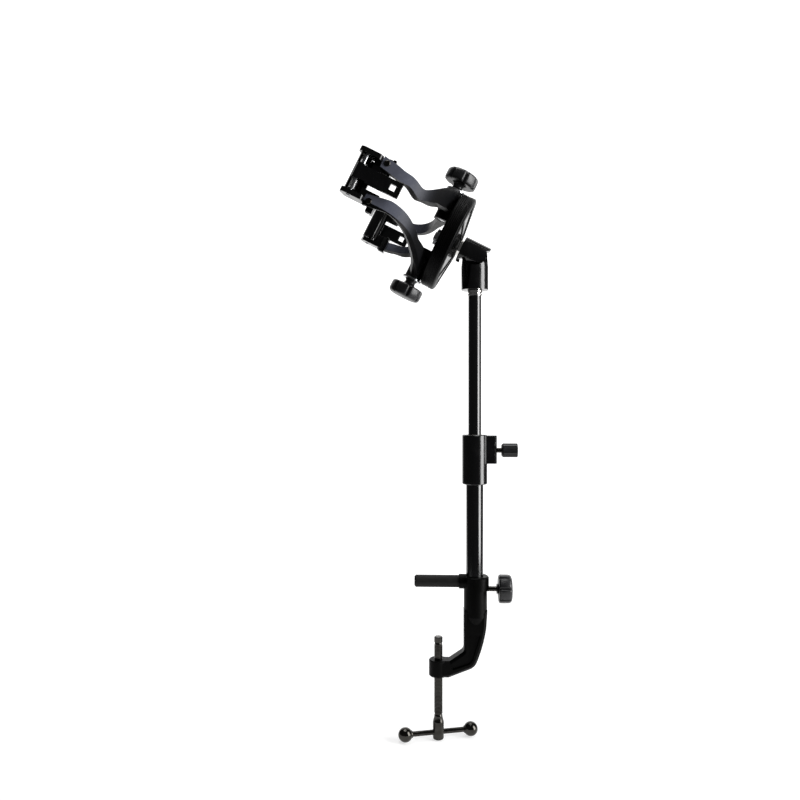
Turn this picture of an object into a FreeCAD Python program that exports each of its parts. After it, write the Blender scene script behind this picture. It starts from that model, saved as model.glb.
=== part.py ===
import FreeCAD, Part
import math
import os
import re
import Sketcher

# Tablet holder on a table clamp. Millimetres, +Z up, +X away from the table, near side at -Y.
# The origin lies on the table-top plane, on the axis of the clamp screw.

os.makedirs("parts", exist_ok=True)
doc = FreeCAD.newDocument("TabletClampHolder")
Vector = FreeCAD.Vector
Rotation = FreeCAD.Rotation
Placement = FreeCAD.Placement

SIZES = (
    # clamp casting
    ("reach", "33.6"),
    ("throat_height", "66.8"),
    ("boss_height", "15.2"),
    ("boss_r", "8.7"),
    ("spine_inner", "10.1"),
    ("spine_outer", "13.1"),
    ("frame_top", "10.8"),
    ("frame_width", "16"),
    ("frame_chamfer", "2.4"),
    ("waist_depth", "36"),
    ("waist_outer", "10.4"),
    ("heel_drop", "1"),
    ("heel_depth", "=throat_height + heel_drop"),
    ("heel_outer", "1.7"),
    ("web_recess", "2.2"),
    ("post_bore_depth", "28"),
    # jaw rod
    ("rod_r", "4"),
    ("rod_sleeve_r", "5.6"),
    ("rod_length", "45.7"),
    ("rod_collar_r", "6.7"),
    ("rod_collar_length", "4.4"),
    # clamp screw and tommy bar
    ("screw_r", "3.9"),
    ("screw_gap", "0.08"),
    ("screw_tip_drop", "46"),
    ("tip_cap_length", "5"),
    ("nose_r", "2.4"),
    ("head_r", "5.15"),
    ("screw_length", "73.9"),
    ("head_top_drop", "=screw_tip_drop + screw_length"),
    ("head_length", "21.2"),
    ("bar_offset", "14.8"),
    ("bar_drop", "=head_top_drop + bar_offset"),
    ("bar_r", "2.35"),
    ("bar_gap", "0.08"),
    ("ball_r", "6.6"),
    ("ball_spacing", "62.7"),
    ("bar_yaw", "14"),
    # telescopic post
    ("lower_tube_r", "8"),
    ("tube_wall", "1.5"),
    ("tube_gap", "0.05"),
    ("lower_tube_top", "118"),
    ("upper_tube_r", "6"),
    ("upper_tube_wall", "1.2"),
    ("upper_tube_length", "205.6"),
    ("sleeve_r", "11.7"),
    ("sleeve_grip", "22.1"),
    ("sleeve_length", "45.7"),
    ("sleeve_bottom", "=lower_tube_top - sleeve_grip"),
    ("sleeve_top", "=sleeve_bottom + sleeve_length"),
    ("sleeve_block_height", "26.6"),
    ("sleeve_block_reach", "20.1"),
    ("sleeve_block_width", "11"),
    ("bush_length", "10"),
    ("bush_wall", "1.4"),
    ("foot_flange", "2.5"),
    ("foot_plug", "9"),
    ("neck_length", "5.5"),
    ("neck_r", "6.9"),
    ("neck_thread_r", "5"),
    ("neck_thread_length", "13"),
    # lock screws
    ("post_stud_r", "2.5"),
    ("post_stud_drop", "1.2"),
    ("post_knob_reach", "20.2"),
    ("post_knob_r", "13.2"),
    ("post_knob_thickness", "14.4"),
    ("height_stud_r", "2.45"),
    ("height_stud_drop", "14.5"),
    ("height_stud_z", "=sleeve_top - height_stud_drop"),
    ("height_knob_reach", "24.6"),
    ("height_knob_r", "6.5"),
    ("height_knob_length", "14.6"),
    ("stud_gap", "0.06"),
    ("shoe_length", "1.6"),
    # elbow
    ("pivot_z", "307.2"),
    ("rest_tilt", "26.7"),
    ("cup_r", "12.5"),
    ("cup_drop", "32"),
    ("neck_bottom", "=pivot_z - cup_drop - neck_length - 0.1"),
    ("upper_tube_bottom", "=neck_bottom - upper_tube_length"),
    ("shoulder_drop", "10.6"),
    ("ear_r", "11.6"),
    ("ear_foot_drop", "3.1"),
    ("near_ear_r", "10"),
    ("seat_gap", "0.35"),
    ("horn_drop", "7"),
    ("lap_gap", "0.1"),
    ("arm_r", "12.15"),
    ("arm_back", "11"),
    ("arm_front", "14.2"),
    ("pivot_bolt_r", "3"),
    ("pivot_gap", "0.05"),
    ("bolt_head_r", "5"),
    ("bolt_head_height", "3.4"),
    # hub
    ("hub_r", "45.3"),
    ("hub_flange", "4"),
    ("hub_seat", "=arm_front + hub_flange"),
    ("hub_back", "=hub_seat + 2.4"),
    ("hub_cover_depth", "5.4"),
    ("hub_body_depth", "8.5"),
    ("hub_split", "=hub_back + hub_cover_depth"),
    ("hub_front", "=hub_split + hub_body_depth"),
    ("hub_wall", "2.6"),
    ("hub_dome", "3.8"),
    ("dome_inner_r", "12.6"),
    ("hub_shaft_r", "4.98"),
    ("hub_gap", "0.05"),
    ("hub_nut_r", "7.5"),
    ("hub_nut_height", "4.6"),
    ("hub_boss_r", "9.2"),
    # claw hinge
    ("hinge_rise", "8"),
    ("hinge_n", "=hub_front + hinge_rise"),
    ("knuckle_r", "7.5"),
    ("root_inner", "22.4"),
    ("root_height", "22"),
    ("tongue_height", "7.4"),
    ("root_outer", "=root_inner + root_height"),
    ("tongue_inner", "=root_inner + (root_height - tongue_height) / 2"),
    ("tongue_outer", "=tongue_inner + tongue_height"),
    ("leaf_gap", "0.2"),
    ("stud_r", "3.95"),
    ("lug_thickness", "7"),
    ("washer_r", "9"),
    ("washer_thickness", "1.4"),
    # claw arms
    ("arm_root_back", "=hinge_n - 5"),
    ("arm_root_front", "=hinge_n + 4.5"),
    ("arm_length", "46"),
    ("wall_inner", "84"),
    ("wall_thickness", "2.95"),
    ("arm_tip_thickness", "6"),
    ("arm_reach", "=wall_inner + wall_thickness + arm_tip_thickness + 0.05"),
    ("arm_tip_r", "35"),
    ("wall_back", "=hinge_n + arm_length"),
    ("bend_lead", "4.5"),
    ("arm_bend_n", "=wall_back - bend_lead"),
    ("arm_lap", "9.2"),
    ("arm_end", "=wall_back + arm_lap"),
    ("arm_tip_inner", "12.3"),
    ("arm_tip_width", "9.1"),
    ("arm_tip_outer", "=arm_tip_inner + arm_tip_width"),
    # jaw yoke and sprung lever
    ("wall_width", "16"),
    ("wall_front", "=wall_back + wall_width"),
    ("flange_step", "9.4"),
    ("flange_back", "=wall_back + flange_step"),
    ("flange_depth", "19.7"),
    ("flange_front", "=flange_back + flange_depth"),
    ("flange_half", "20"),
    ("flange_thickness", "4.2"),
    ("ledge_depth", "8"),
    ("ledge_reach", "=wall_inner - ledge_depth"),
    ("ledge_half", "24"),
    ("ledge_thickness", "2.6"),
    ("rest_pad_thickness", "3.5"),
    ("rest_pad_front", "=wall_back + ledge_thickness + rest_pad_thickness"),
    ("slot_half", "8"),
    ("pin_inset", "12.6"),
    ("pin_n", "=flange_back + pin_inset"),
    ("pin_rise", "10.6"),
    ("pin_w", "=wall_inner + pin_rise"),
    ("pin_r", "1.75"),
    ("pin_gap", "0.05"),
    ("barrel_r", "4.4"),
    ("lever_gap", "0.4"),
    ("tail_half", "6.4"),
    ("tail_thickness", "3"),
    ("tail_length", "37.5"),
    ("tail_end", "=pin_n - tail_length"),
    ("tail_hole", "5"),
    ("hook_drop", "5.7"),
    ("hook_tip_n", "=pin_n - hook_drop"),
    ("hook_depth", "7.6"),
    ("hook_tip_w", "=wall_inner - hook_depth"),
    ("jaw_pad_thickness", "2.3"),
    ("spring_wire_r", "0.5"),
    ("spring_coil_r", "2.95"),
    ("spring_pitch", "1.6"),
    ("spring_bottom", "13.2"),
    # claw lock knobs
    ("knob_base", "=root_outer + washer_thickness + 0.4"),
    ("knob_stem_r", "5.6"),
    ("knob_stem_length", "6.4"),
    ("knob_r", "14"),
    ("knob_thickness", "11.2"),
    ("knob_chamfer", "1.6"),
)
SPRING_TURNS = 4
LOBES = 7
KNURLS = 14
FACETS = 8

sheet = doc.addObject("Spreadsheet::Sheet", "Sheet")
for row, (alias, number) in enumerate(SIZES, start=1):
    sheet.set("A%d" % row, alias)
    sheet.set("B%d" % row, number)
    sheet.setAlias("B%d" % row, alias)
sheet.recompute()
ALIASES = {alias for alias, number in SIZES}


trial = doc.addObject("Spreadsheet::Sheet", "Trial")
KNOWN = {}


def size(text):
    """The number that a formula of the sheet's sizes comes to."""
    if text not in KNOWN:
        trial.set("A1", "=" + linked(text))
        trial.recompute()
        KNOWN[text] = float(trial.get("A1"))
    return KNOWN[text]


def linked(text):
    """The same formula as an object's expression reads it."""
    return re.sub(r"[a-z][a-z_]*", lambda m: "Sheet." + m.group() if m.group() in ALIASES else m.group(), text)


def bind(thing, prop, text):
    thing.setExpression(prop, linked(text))


def new_body(label, place=None):
    made = doc.addObject("PartDesign::Body", label)
    made.Label = label
    if place:
        made.Placement = place
    return made


def origin_plane(body, role):
    return next(feature for feature in body.Origin.OriginFeatures if feature.Role == role)


def sketch_on(body, role, offset=None):
    sketch = body.newObject("Sketcher::SketchObject", "Sketch")
    sketch.AttachmentSupport = [(origin_plane(body, role), "")]
    sketch.MapMode = "FlatFace"
    if offset:
        bind(sketch, "AttachmentOffset.Base.z", offset)
    return sketch


def fix_point(sketch, geo, pos, x, y):
    """Ties a point of the sketch to two formulas."""
    for kind, text in (("DistanceX", x), ("DistanceY", y)):
        index = sketch.addConstraint(Sketcher.Constraint(kind, geo, pos, size(text)))
        bind(sketch, "Constraints[%d]" % index, text)


def outline(sketch, start, *moves):
    """A closed outline. A move of two formulas is a line to that corner, one of four an arc through the first pair."""
    corners = [start] + [move[-2:] for move in moves]
    if corners[-1] != start:
        moves = moves + (start,)
        corners.append(start)
    points = [Vector(size(x), size(y), 0) for x, y in corners]
    count = len(moves)
    edges = []
    for index, move in enumerate(moves):
        a, b = points[index], points[index + 1]
        if len(move) == 4:
            via = Vector(size(move[0]), size(move[1]), 0)
            edges.append(sketch.addGeometry(Part.Arc(a, via, b)))
        else:
            edges.append(sketch.addGeometry(Part.LineSegment(a, b)))
    first = []
    last = []
    for index, edge in enumerate(edges):
        one, two = sketch.getPoint(edge, 1), sketch.getPoint(edge, 2)
        swapped = one.distanceToPoint(points[index]) > two.distanceToPoint(points[index])
        first.append(2 if swapped else 1)
        last.append(1 if swapped else 2)
    for index, move in enumerate(moves):
        after = (index + 1) % count
        sketch.addConstraint(Sketcher.Constraint("Coincident", edges[index], last[index], edges[after], first[after]))
        fix_point(sketch, edges[index], first[index], *corners[index])
        if len(move) == 4:
            via = Vector(size(move[0]), size(move[1]), 0)
            dot = sketch.addGeometry(Part.Point(via), True)
            sketch.addConstraint(Sketcher.Constraint("PointOnObject", dot, 1, edges[index]))
            fix_point(sketch, dot, 1, move[0], move[1])
    return sketch


def circle(sketch, x, y, radius):
    centre = Vector(size(x), size(y), 0)
    geo = sketch.addGeometry(Part.Circle(centre, Vector(0, 0, 1), size(radius)))
    fix_point(sketch, geo, 3, x, y)
    index = sketch.addConstraint(Sketcher.Constraint("Radius", geo, size(radius)))
    bind(sketch, "Constraints[%d]" % index, radius)
    return sketch


def pad(body, sketch, length, side="One side", reverse=False):
    feature = body.newObject("PartDesign::Pad", "Pad")
    feature.Profile = sketch
    feature.SideType = side
    feature.Reversed = reverse
    bind(feature, "Length", length)
    doc.recompute()
    return feature


def pocket(body, sketch, length=None, side="One side", reverse=False):
    before = body.Shape.Volume
    feature = body.newObject("PartDesign::Pocket", "Pocket")
    feature.Profile = sketch
    feature.SideType = side
    feature.Reversed = reverse
    if length:
        bind(feature, "Length", length)
    else:
        feature.Type = "ThroughAll"
    doc.recompute()
    check_cut(body, before)
    return feature


def check_cut(body, before):
    if body.Shape.Volume > before - 1e-6:
        raise ValueError("a cut of %s takes nothing away" % body.Label)


def turn(body, sketch, axis="V_Axis"):
    feature = body.newObject("PartDesign::Revolution", "Revolution")
    feature.Profile = sketch
    feature.ReferenceAxis = (sketch, [axis])
    feature.Angle = 360
    doc.recompute()
    return feature


def cylinder(body, base, axis, radius, height, cut=False):
    """A round boss or bore from a base point of three formulas along an axis."""
    before = body.Shape.Volume if cut else 0.0
    kind = "PartDesign::SubtractiveCylinder" if cut else "PartDesign::AdditiveCylinder"
    feature = body.newObject(kind, "Cylinder")
    feature.Placement = Placement(Vector(), Rotation(Vector(0, 0, 1), Vector(*axis)))
    bind(feature, "Radius", radius)
    bind(feature, "Height", height)
    for letter, text in zip("xyz", base):
        bind(feature, "Placement.Base." + letter, text)
    doc.recompute()
    if cut:
        check_cut(body, before)
    return feature


def cone(body, base, radius, end_radius, height):
    feature = body.newObject("PartDesign::AdditiveCone", "Cone")
    bind(feature, "Radius1", radius)
    bind(feature, "Radius2", end_radius)
    bind(feature, "Height", height)
    for letter, text in zip("xyz", base):
        bind(feature, "Placement.Base." + letter, text)
    doc.recompute()
    return feature


def mirror(body, features, role):
    feature = body.newObject("PartDesign::Mirrored", "Mirrored")
    feature.Originals = features
    feature.MirrorPlane = (origin_plane(body, role), [""])
    body.Tip = feature
    doc.recompute()
    return feature


def around(body, features, axis_role, count):
    feature = body.newObject("PartDesign::PolarPattern", "PolarPattern")
    feature.Originals = features
    feature.Axis = (origin_plane(body, axis_role), [""])
    feature.Angle = 360
    feature.Occurrences = count
    body.Tip = feature
    doc.recompute()
    return feature


def edges_where(body, test):
    """Names of the edges of a body's present shape whose middle point passes the test."""
    names = []
    for index, edge in enumerate(body.Tip.Shape.Edges, start=1):
        middle = edge.valueAt((edge.FirstParameter + edge.LastParameter) / 2)
        if test(edge, middle):
            names.append("Edge%d" % index)
    return names


def fillet(body, radius, test):
    names = edges_where(body, test)
    base = body.Tip
    feature = body.newObject("PartDesign::Fillet", "Fillet")
    feature.Base = (base, names)
    bind(feature, "Radius", radius)
    doc.recompute()
    return feature


def chamfer(body, width, test):
    names = edges_where(body, test)
    base = body.Tip
    feature = body.newObject("PartDesign::Chamfer", "Chamfer")
    feature.Base = (base, names)
    bind(feature, "Size", width)
    doc.recompute()
    return feature


def turned(label, place, start, *moves):
    """A piece turned about its own Z axis from a half outline of radius and height."""
    body = new_body(label, place)
    turn(body, outline(sketch_on(body, "XZ_Plane"), start, *moves))
    return body


def plain(label, shape, place):
    feature = doc.addObject("Part::Feature", label)
    feature.Label = label
    feature.Shape = shape
    feature.Placement = place
    return feature


# Frames of the post, the elbow and the holder. In the last two X points to the tablet and near is +Y.
ALONG_X = Rotation(Vector(0, 0, 1), Vector(1, 0, 0))
POST = Placement(Vector(size("reach"), 0, 0), Rotation())
ELBOW = Placement(Vector(size("reach"), 0, size("pivot_z")), Rotation(Vector(0, 0, 1), 180))
HOLDER = Placement(
    Vector(size("reach"), 0, size("pivot_z")),
    Rotation(Vector(0, 1, 0), size("rest_tilt")) * Rotation(Vector(0, 0, 1), 180),
)
HALF_TURN = Placement(Vector(), Rotation(Vector(1, 0, 0), 180))
FAR = HOLDER * HALF_TURN


# Clamp casting with the bores for the post, the jaw rod, the clamp screw and the lock stud
def clamp_frame():
    body = new_body("clamp_frame")
    foot = "-(throat_height + boss_height)"
    side = outline(
        sketch_on(body, "XZ_Plane"),
        ("reach - spine_inner", "-(waist_depth - 16)"),
        ("reach + spine_outer - 1.7", "-(waist_depth - 16)"),
        ("reach + waist_outer", "-waist_depth"),
        ("reach + 7.1", "-(waist_depth + heel_depth) / 2", "reach + heel_outer", "-heel_depth"),
        ("reach - 0.9", "-(heel_depth + 3.9)", "reach - 5.2", "-(heel_depth + 6.6)"),
        ("reach - 24.5", foot),
        ("0", foot),
        ("0", "-throat_height"),
        ("reach - 23.4", "-throat_height"),
        ("reach - spine_inner - 2.5", "-(throat_height - 7.4)"),
        ("reach - spine_inner - 0.8", "-(throat_height - 9)", "reach - spine_inner", "-(throat_height - 11.4)"),
    )
    pad(body, side, "frame_width", "Symmetric")
    half = size("frame_width / 2")
    chamfer(body, "frame_chamfer", lambda edge, middle: abs(abs(middle.y) - half) < 1e-4 and middle.x > 1)
    boss = outline(
        sketch_on(body, "XZ_Plane"),
        ("0", foot),
        ("boss_r - 0.8", foot),
        ("boss_r", foot + " + 0.8"),
        ("boss_r", "-throat_height - 0.8"),
        ("boss_r - 0.8", "-throat_height"),
        ("0", "-throat_height"),
    )
    turn(body, boss)
    neck_x = "reach + (spine_outer - spine_inner) / 2 - 0.8"
    neck_r = "(spine_outer + spine_inner) / 2 - 0.86"
    cone(body, (neck_x, "0", "-(waist_depth + 4)"), "frame_width / 2 - 3", neck_r, "14")
    cylinder(body, (neck_x, "0", "-(waist_depth - 10)"), (0, 0, 1), neck_r, "waist_depth - 10")
    head_x = "reach + (spine_outer - spine_inner) / 2"
    cylinder(body, (head_x, "0", "-1.6"), (0, 0, 1), "(spine_outer + spine_inner) / 2", "frame_top + 1.6")
    top = size("frame_top")
    chamfer(body, "1.1", lambda edge, middle: edge.Closed and abs(middle.z - top) < 1e-4)
    collar_x = "reach - spine_inner - rod_collar_length"
    cylinder(body, (collar_x, "0", "rod_sleeve_r"), (1, 0, 0), "rod_collar_r", "rod_collar_length + 5")
    for face_y, reverse in (("frame_width / 2", False), ("-frame_width / 2", True)):
        panel = outline(
            sketch_on(body, "XZ_Plane", face_y),
            ("reach - 5.4", "-(throat_height - 23.8)"),
            ("reach + 5.2", "-(throat_height - 23.8)"),
            ("reach - 1.2", "-(throat_height - 3.8)"),
            ("reach - 3.4", "-(throat_height + 0.8)", "reach - 7.2", "-(throat_height + 3.2)"),
            ("reach - 20.4", "-(throat_height + 7.8)"),
            ("reach - 21.4", "-(throat_height + 4.8)"),
            ("reach - 9.6", "-(throat_height - 1.4)"),
            ("reach - 6.2", "-(throat_height - 4.8)", "reach - 5.4", "-(throat_height - 9.8)"),
        )
        pocket(body, panel, "web_recess", reverse=reverse)
    post_bore = "post_bore_depth + rod_sleeve_r + rod_collar_r + 1"
    cylinder(body, ("reach", "0", "-post_bore_depth"), (0, 0, 1), "lower_tube_r + tube_gap", post_bore, True)
    cylinder(body, ("0", "0", foot + " - 1"), (0, 0, 1), "screw_r + screw_gap", "boss_height + 2", True)
    stud_bore = "spine_outer + spine_inner"
    cylinder(body, ("reach", "0", "-post_stud_drop"), (1, 0, 0), "post_stud_r + stud_gap", stud_bore, True)
    cylinder(body, (collar_x + " - 1", "0", "rod_sleeve_r"), (1, 0, 0), "rod_r", "rod_collar_length + 2", True)
    return body


# Upper jaw: a round bar in the casting's collar with a grippy sleeve over it
def jaw_rod():
    place = Placement(Vector(size("reach - spine_inner + 1"), 0, size("rod_sleeve_r")), Rotation(Vector(0, 0, 1), Vector(-1, 0, 0)))
    return turned(
        "jaw_rod", place, ("0", "0"), ("rod_r - 0.02", "0"), ("rod_r - 0.02", "rod_length - 2"), ("0", "rod_length - 2")
    )


def jaw_sleeve():
    place = Placement(Vector(size("reach - spine_inner"), 0, size("rod_sleeve_r")), Rotation(Vector(0, 0, 1), Vector(-1, 0, 0)))
    return turned(
        "jaw_sleeve",
        place,
        ("rod_r + 0.02", "rod_collar_length + 0.1"),
        ("rod_sleeve_r", "rod_collar_length + 0.1"),
        ("rod_sleeve_r", "rod_length - 1.4"),
        ("rod_sleeve_r - 1.4", "rod_length"),
        ("0", "rod_length"),
        ("0", "rod_length - 2.9"),
        ("rod_r + 0.02", "rod_length - 2.9"),
    )


# Clamp screw: a cap that only slides, the turning screw with its cross-drilled head, and the tommy bar
def screw_tip_cap():
    place = Placement(Vector(0, 0, size("-screw_tip_drop - tip_cap_length")), Rotation())
    return turned(
        "screw_tip_cap",
        place,
        ("nose_r + screw_gap", "0"),
        ("screw_r", "0"),
        ("screw_r", "tip_cap_length - 0.6"),
        ("screw_r - 0.6", "tip_cap_length"),
        ("0", "tip_cap_length"),
        ("0", "tip_cap_length - 1.2"),
        ("nose_r + screw_gap", "tip_cap_length - 1.2"),
    )


def clamp_screw():
    place = Placement(Vector(), Rotation(Vector(0, 0, 1), size("bar_yaw")))
    neck = "-(screw_tip_drop + tip_cap_length + 0.3)"
    body = turned(
        "clamp_screw",
        place,
        ("0", "-(screw_tip_drop + 1.5)"),
        ("nose_r", "-(screw_tip_drop + 1.5)"),
        ("nose_r", neck),
        ("screw_r", neck),
        ("screw_r", "-head_top_drop"),
        ("head_r", "-(head_top_drop + 5)"),
        ("head_r", "-(head_top_drop + head_length - 1)"),
        ("head_r - 1", "-(head_top_drop + head_length)"),
        ("0", "-(head_top_drop + head_length)"),
    )
    cylinder(body, ("-head_r - 1", "0", "-bar_drop"), (1, 0, 0), "bar_r + bar_gap", "head_r * 2 + 2", True)
    return body


BAR = Placement(Vector(0, 0, size("-bar_drop")), Rotation(Vector(0, 0, 1), size("bar_yaw")) * ALONG_X)


def tommy_bar():
    end = "ball_spacing / 2 - 1.5"
    return turned("tommy_bar", BAR, ("0", "-(%s)" % end), ("bar_r", "-(%s)" % end), ("bar_r", end), ("0", end))


def tommy_ball(label, sign):
    """Ball end in bands of 30 degrees about the round form, drilled for the bar as far as it reaches in."""
    centre = "%s * ball_spacing / 2" % sign
    corner = "ball_r / cos(15)"
    bands = [
        ("%s * cos(%d)" % (corner, angle), "%s + %s * sin(%d)" % (centre, corner, angle)) for angle in range(-75, 90, 30)
    ]
    body = turned(label, BAR, ("0", centre + " - ball_r"), *bands, ("0", centre + " + ball_r"))
    start = "ball_spacing / 2 - ball_r - 1" if sign == "1" else "-(ball_spacing / 2 - 1.5)"
    cylinder(body, ("0", "0", start), (0, 0, 1), "bar_r", "ball_r - 0.5", True)
    return body


# Post: lower tube with the clamping sleeve, upper tube with its foot and threaded neck
def lower_tube():
    return turned(
        "lower_tube",
        POST,
        ("lower_tube_r - tube_wall", "-(post_bore_depth - 0.1)"),
        ("lower_tube_r", "-(post_bore_depth - 0.1)"),
        ("lower_tube_r", "lower_tube_top"),
        ("lower_tube_r - tube_wall", "lower_tube_top"),
    )


def height_sleeve():
    body = turned(
        "height_sleeve",
        POST,
        ("0", "sleeve_bottom"),
        ("sleeve_r - 0.7", "sleeve_bottom"),
        ("sleeve_r", "sleeve_bottom + 0.7"),
        ("sleeve_r", "sleeve_top - 0.7"),
        ("sleeve_r - 0.7", "sleeve_top"),
        ("0", "sleeve_top"),
    )
    block = outline(
        sketch_on(body, "XY_Plane", "sleeve_top - sleeve_block_height"),
        ("0", "-sleeve_block_width / 2"),
        ("sleeve_block_reach - 2", "-sleeve_block_width / 2"),
        ("sleeve_block_reach", "-sleeve_block_width / 2 + 2"),
        ("sleeve_block_reach", "sleeve_block_width / 2 - 2"),
        ("sleeve_block_reach - 2", "sleeve_block_width / 2"),
        ("0", "sleeve_block_width / 2"),
    )
    pad(body, block, "sleeve_block_height - 0.7")
    cylinder(
        body,
        ("0", "0", "sleeve_bottom - 1"),
        (0, 0, 1),
        "lower_tube_r",
        "lower_tube_top - sleeve_bottom + 1",
        True,
    )
    cylinder(body, ("0", "0", "lower_tube_top - 1"), (0, 0, 1), "upper_tube_r + 0.6", "sleeve_top - lower_tube_top + 2", True)
    cylinder(
        body,
        ("0", "0", "sleeve_top - bush_length"),
        (0, 0, 1),
        "upper_tube_r + bush_wall",
        "bush_length + 1",
        True,
    )
    cylinder(body, ("2", "0", "height_stud_z"), (1, 0, 0), "height_stud_r + stud_gap", "sleeve_block_reach", True)
    return body


def sleeve_bush():
    return turned(
        "sleeve_bush",
        POST,
        ("upper_tube_r + tube_gap", "sleeve_top - bush_length"),
        ("upper_tube_r + bush_wall", "sleeve_top - bush_length"),
        ("upper_tube_r + bush_wall", "sleeve_top"),
        ("upper_tube_r + tube_gap", "sleeve_top"),
    )


def upper_tube():
    return turned(
        "upper_tube",
        POST,
        ("upper_tube_r - upper_tube_wall", "upper_tube_bottom"),
        ("upper_tube_r", "upper_tube_bottom"),
        ("upper_tube_r", "neck_bottom"),
        ("upper_tube_r - upper_tube_wall", "neck_bottom"),
    )


def tube_foot():
    bore = "upper_tube_r - upper_tube_wall"
    return turned(
        "tube_foot",
        POST,
        ("0", "upper_tube_bottom - foot_flange"),
        ("lower_tube_r - tube_wall - tube_gap", "upper_tube_bottom - foot_flange"),
        ("lower_tube_r - tube_wall - tube_gap", "upper_tube_bottom"),
        (bore, "upper_tube_bottom"),
        (bore, "upper_tube_bottom + foot_plug"),
        ("0", "upper_tube_bottom + foot_plug"),
    )


def neck_stud():
    """Plug in the upper tube, bright collar and the thread that the elbow turns on."""
    plug = "upper_tube_r - upper_tube_wall"
    top = "neck_bottom + neck_length"
    return turned(
        "neck_stud",
        POST,
        ("0", "neck_bottom - 14"),
        (plug, "neck_bottom - 14"),
        (plug, "neck_bottom"),
        ("neck_r - 0.8", "neck_bottom"),
        ("neck_r", "neck_bottom + 0.8"),
        ("neck_r", top),
        ("neck_thread_r", top),
        ("neck_thread_r", top + " + neck_thread_length"),
        ("0", top + " + neck_thread_length"),
    )


# Lock screws: stud, brass shoe and moulded knob, each made along Z and turned to point away from the post
def lock_place(height):
    return Placement(Vector(size("reach"), 0, size(height)), ALONG_X)


def stud(label, place, radius, start, end):
    return turned(label, place, ("0", start), (radius, start), (radius, end), ("0", end))


def lobed_knob(label, place, base, stem, stem_length, radius, thickness, bore):
    """Knob with a flared stem, a bevelled head and finger scallops round its edge."""
    floor = "%s + %s" % (base, stem_length)
    top = "%s + %s" % (floor, thickness)
    body = turned(
        label,
        place,
        ("0", base),
        (stem, base),
        (stem + " + 2.4", floor),
        (radius, floor),
        (radius, top + " - knob_chamfer"),
        (radius + " - knob_chamfer", top),
        ("0", top),
    )
    scallop = circle(sketch_on(body, "XY_Plane", floor + " - 1"), "%s * 1.27" % radius, "0", "%s * 0.4" % radius)
    cut = pocket(body, scallop, thickness + " + 2", reverse=True)
    around(body, [cut], "Z_Axis", LOBES)
    cylinder(body, ("0", "0", base + " - 1"), (0, 0, 1), bore, "%s + %s * 0.6 + 1" % (stem_length, thickness), True)
    return body


def knurled_knob():
    """Slim knob with V grooves along its grip."""
    end = "height_knob_reach + height_knob_length"
    body = turned(
        "height_lock_knob",
        lock_place("height_stud_z"),
        ("0", "height_knob_reach"),
        ("height_knob_r - 1.4", "height_knob_reach"),
        ("height_knob_r", "height_knob_reach + 1.4"),
        ("height_knob_r", end),
        ("0", end),
    )
    groove = outline(
        sketch_on(body, "XY_Plane", "height_knob_reach - 1"),
        ("height_knob_r - 0.6", "0"),
        ("height_knob_r + 0.6", "1.1"),
        ("height_knob_r + 0.6", "-1.1"),
    )
    cut = pocket(body, groove, "height_knob_length + 2", reverse=True)
    around(body, [cut], "Z_Axis", KNURLS)
    bore = "height_knob_length * 0.6 + 1"
    cylinder(body, ("0", "0", "height_knob_reach - 1"), (0, 0, 1), "height_stud_r", bore, True)
    return body


# Elbow: two halves lapped on a cross bolt
def elbow_lower():
    body = turned(
        "elbow_lower",
        ELBOW,
        ("0", "-cup_drop"),
        ("cup_r", "-cup_drop"),
        ("cup_r", "-shoulder_drop"),
        ("ear_r", "-ear_foot_drop"),
        ("ear_r", "ear_r"),
        ("0", "ear_r"),
    )
    arch = outline(
        sketch_on(body, "XZ_Plane"),
        ("-ear_r", "0"),
        ("0", "ear_r", "ear_r", "0"),
        ("ear_r + 2", "0"),
        ("ear_r + 2", "ear_r + 2"),
        ("-ear_r - 2", "ear_r + 2"),
        ("-ear_r - 2", "0"),
    )
    pocket(body, arch, side="Symmetric")
    seat = "near_ear_r + seat_gap"
    horn = "sqrt((%s)^2 - horn_drop^2)" % seat
    lap = outline(
        sketch_on(body, "XZ_Plane", "lap_gap"),
        ("-" + horn, "-horn_drop"),
        ("0", "-(%s)" % seat, horn, "-horn_drop"),
        ("cup_r + 2", "-horn_drop"),
        ("cup_r + 2", "cup_r + 2"),
        ("-cup_r - 2", "cup_r + 2"),
        ("-cup_r - 2", "-horn_drop"),
    )
    pocket(body, lap, "cup_r * 2")
    cylinder(body, ("0", "-cup_r - 1", "0"), (0, 1, 0), "pivot_bolt_r + pivot_gap", "cup_r * 2", True)
    cylinder(
        body,
        ("0", "-cup_r - 1", "0"),
        (0, 1, 0),
        "bolt_head_r + 0.3",
        "bolt_head_height + cup_r - ear_r + 2.4",
        True,
    )
    cylinder(body, ("0", "0", "-cup_drop - 1"), (0, 0, 1), "neck_thread_r + 0.05", "neck_thread_length + 1.4", True)
    return body


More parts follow.
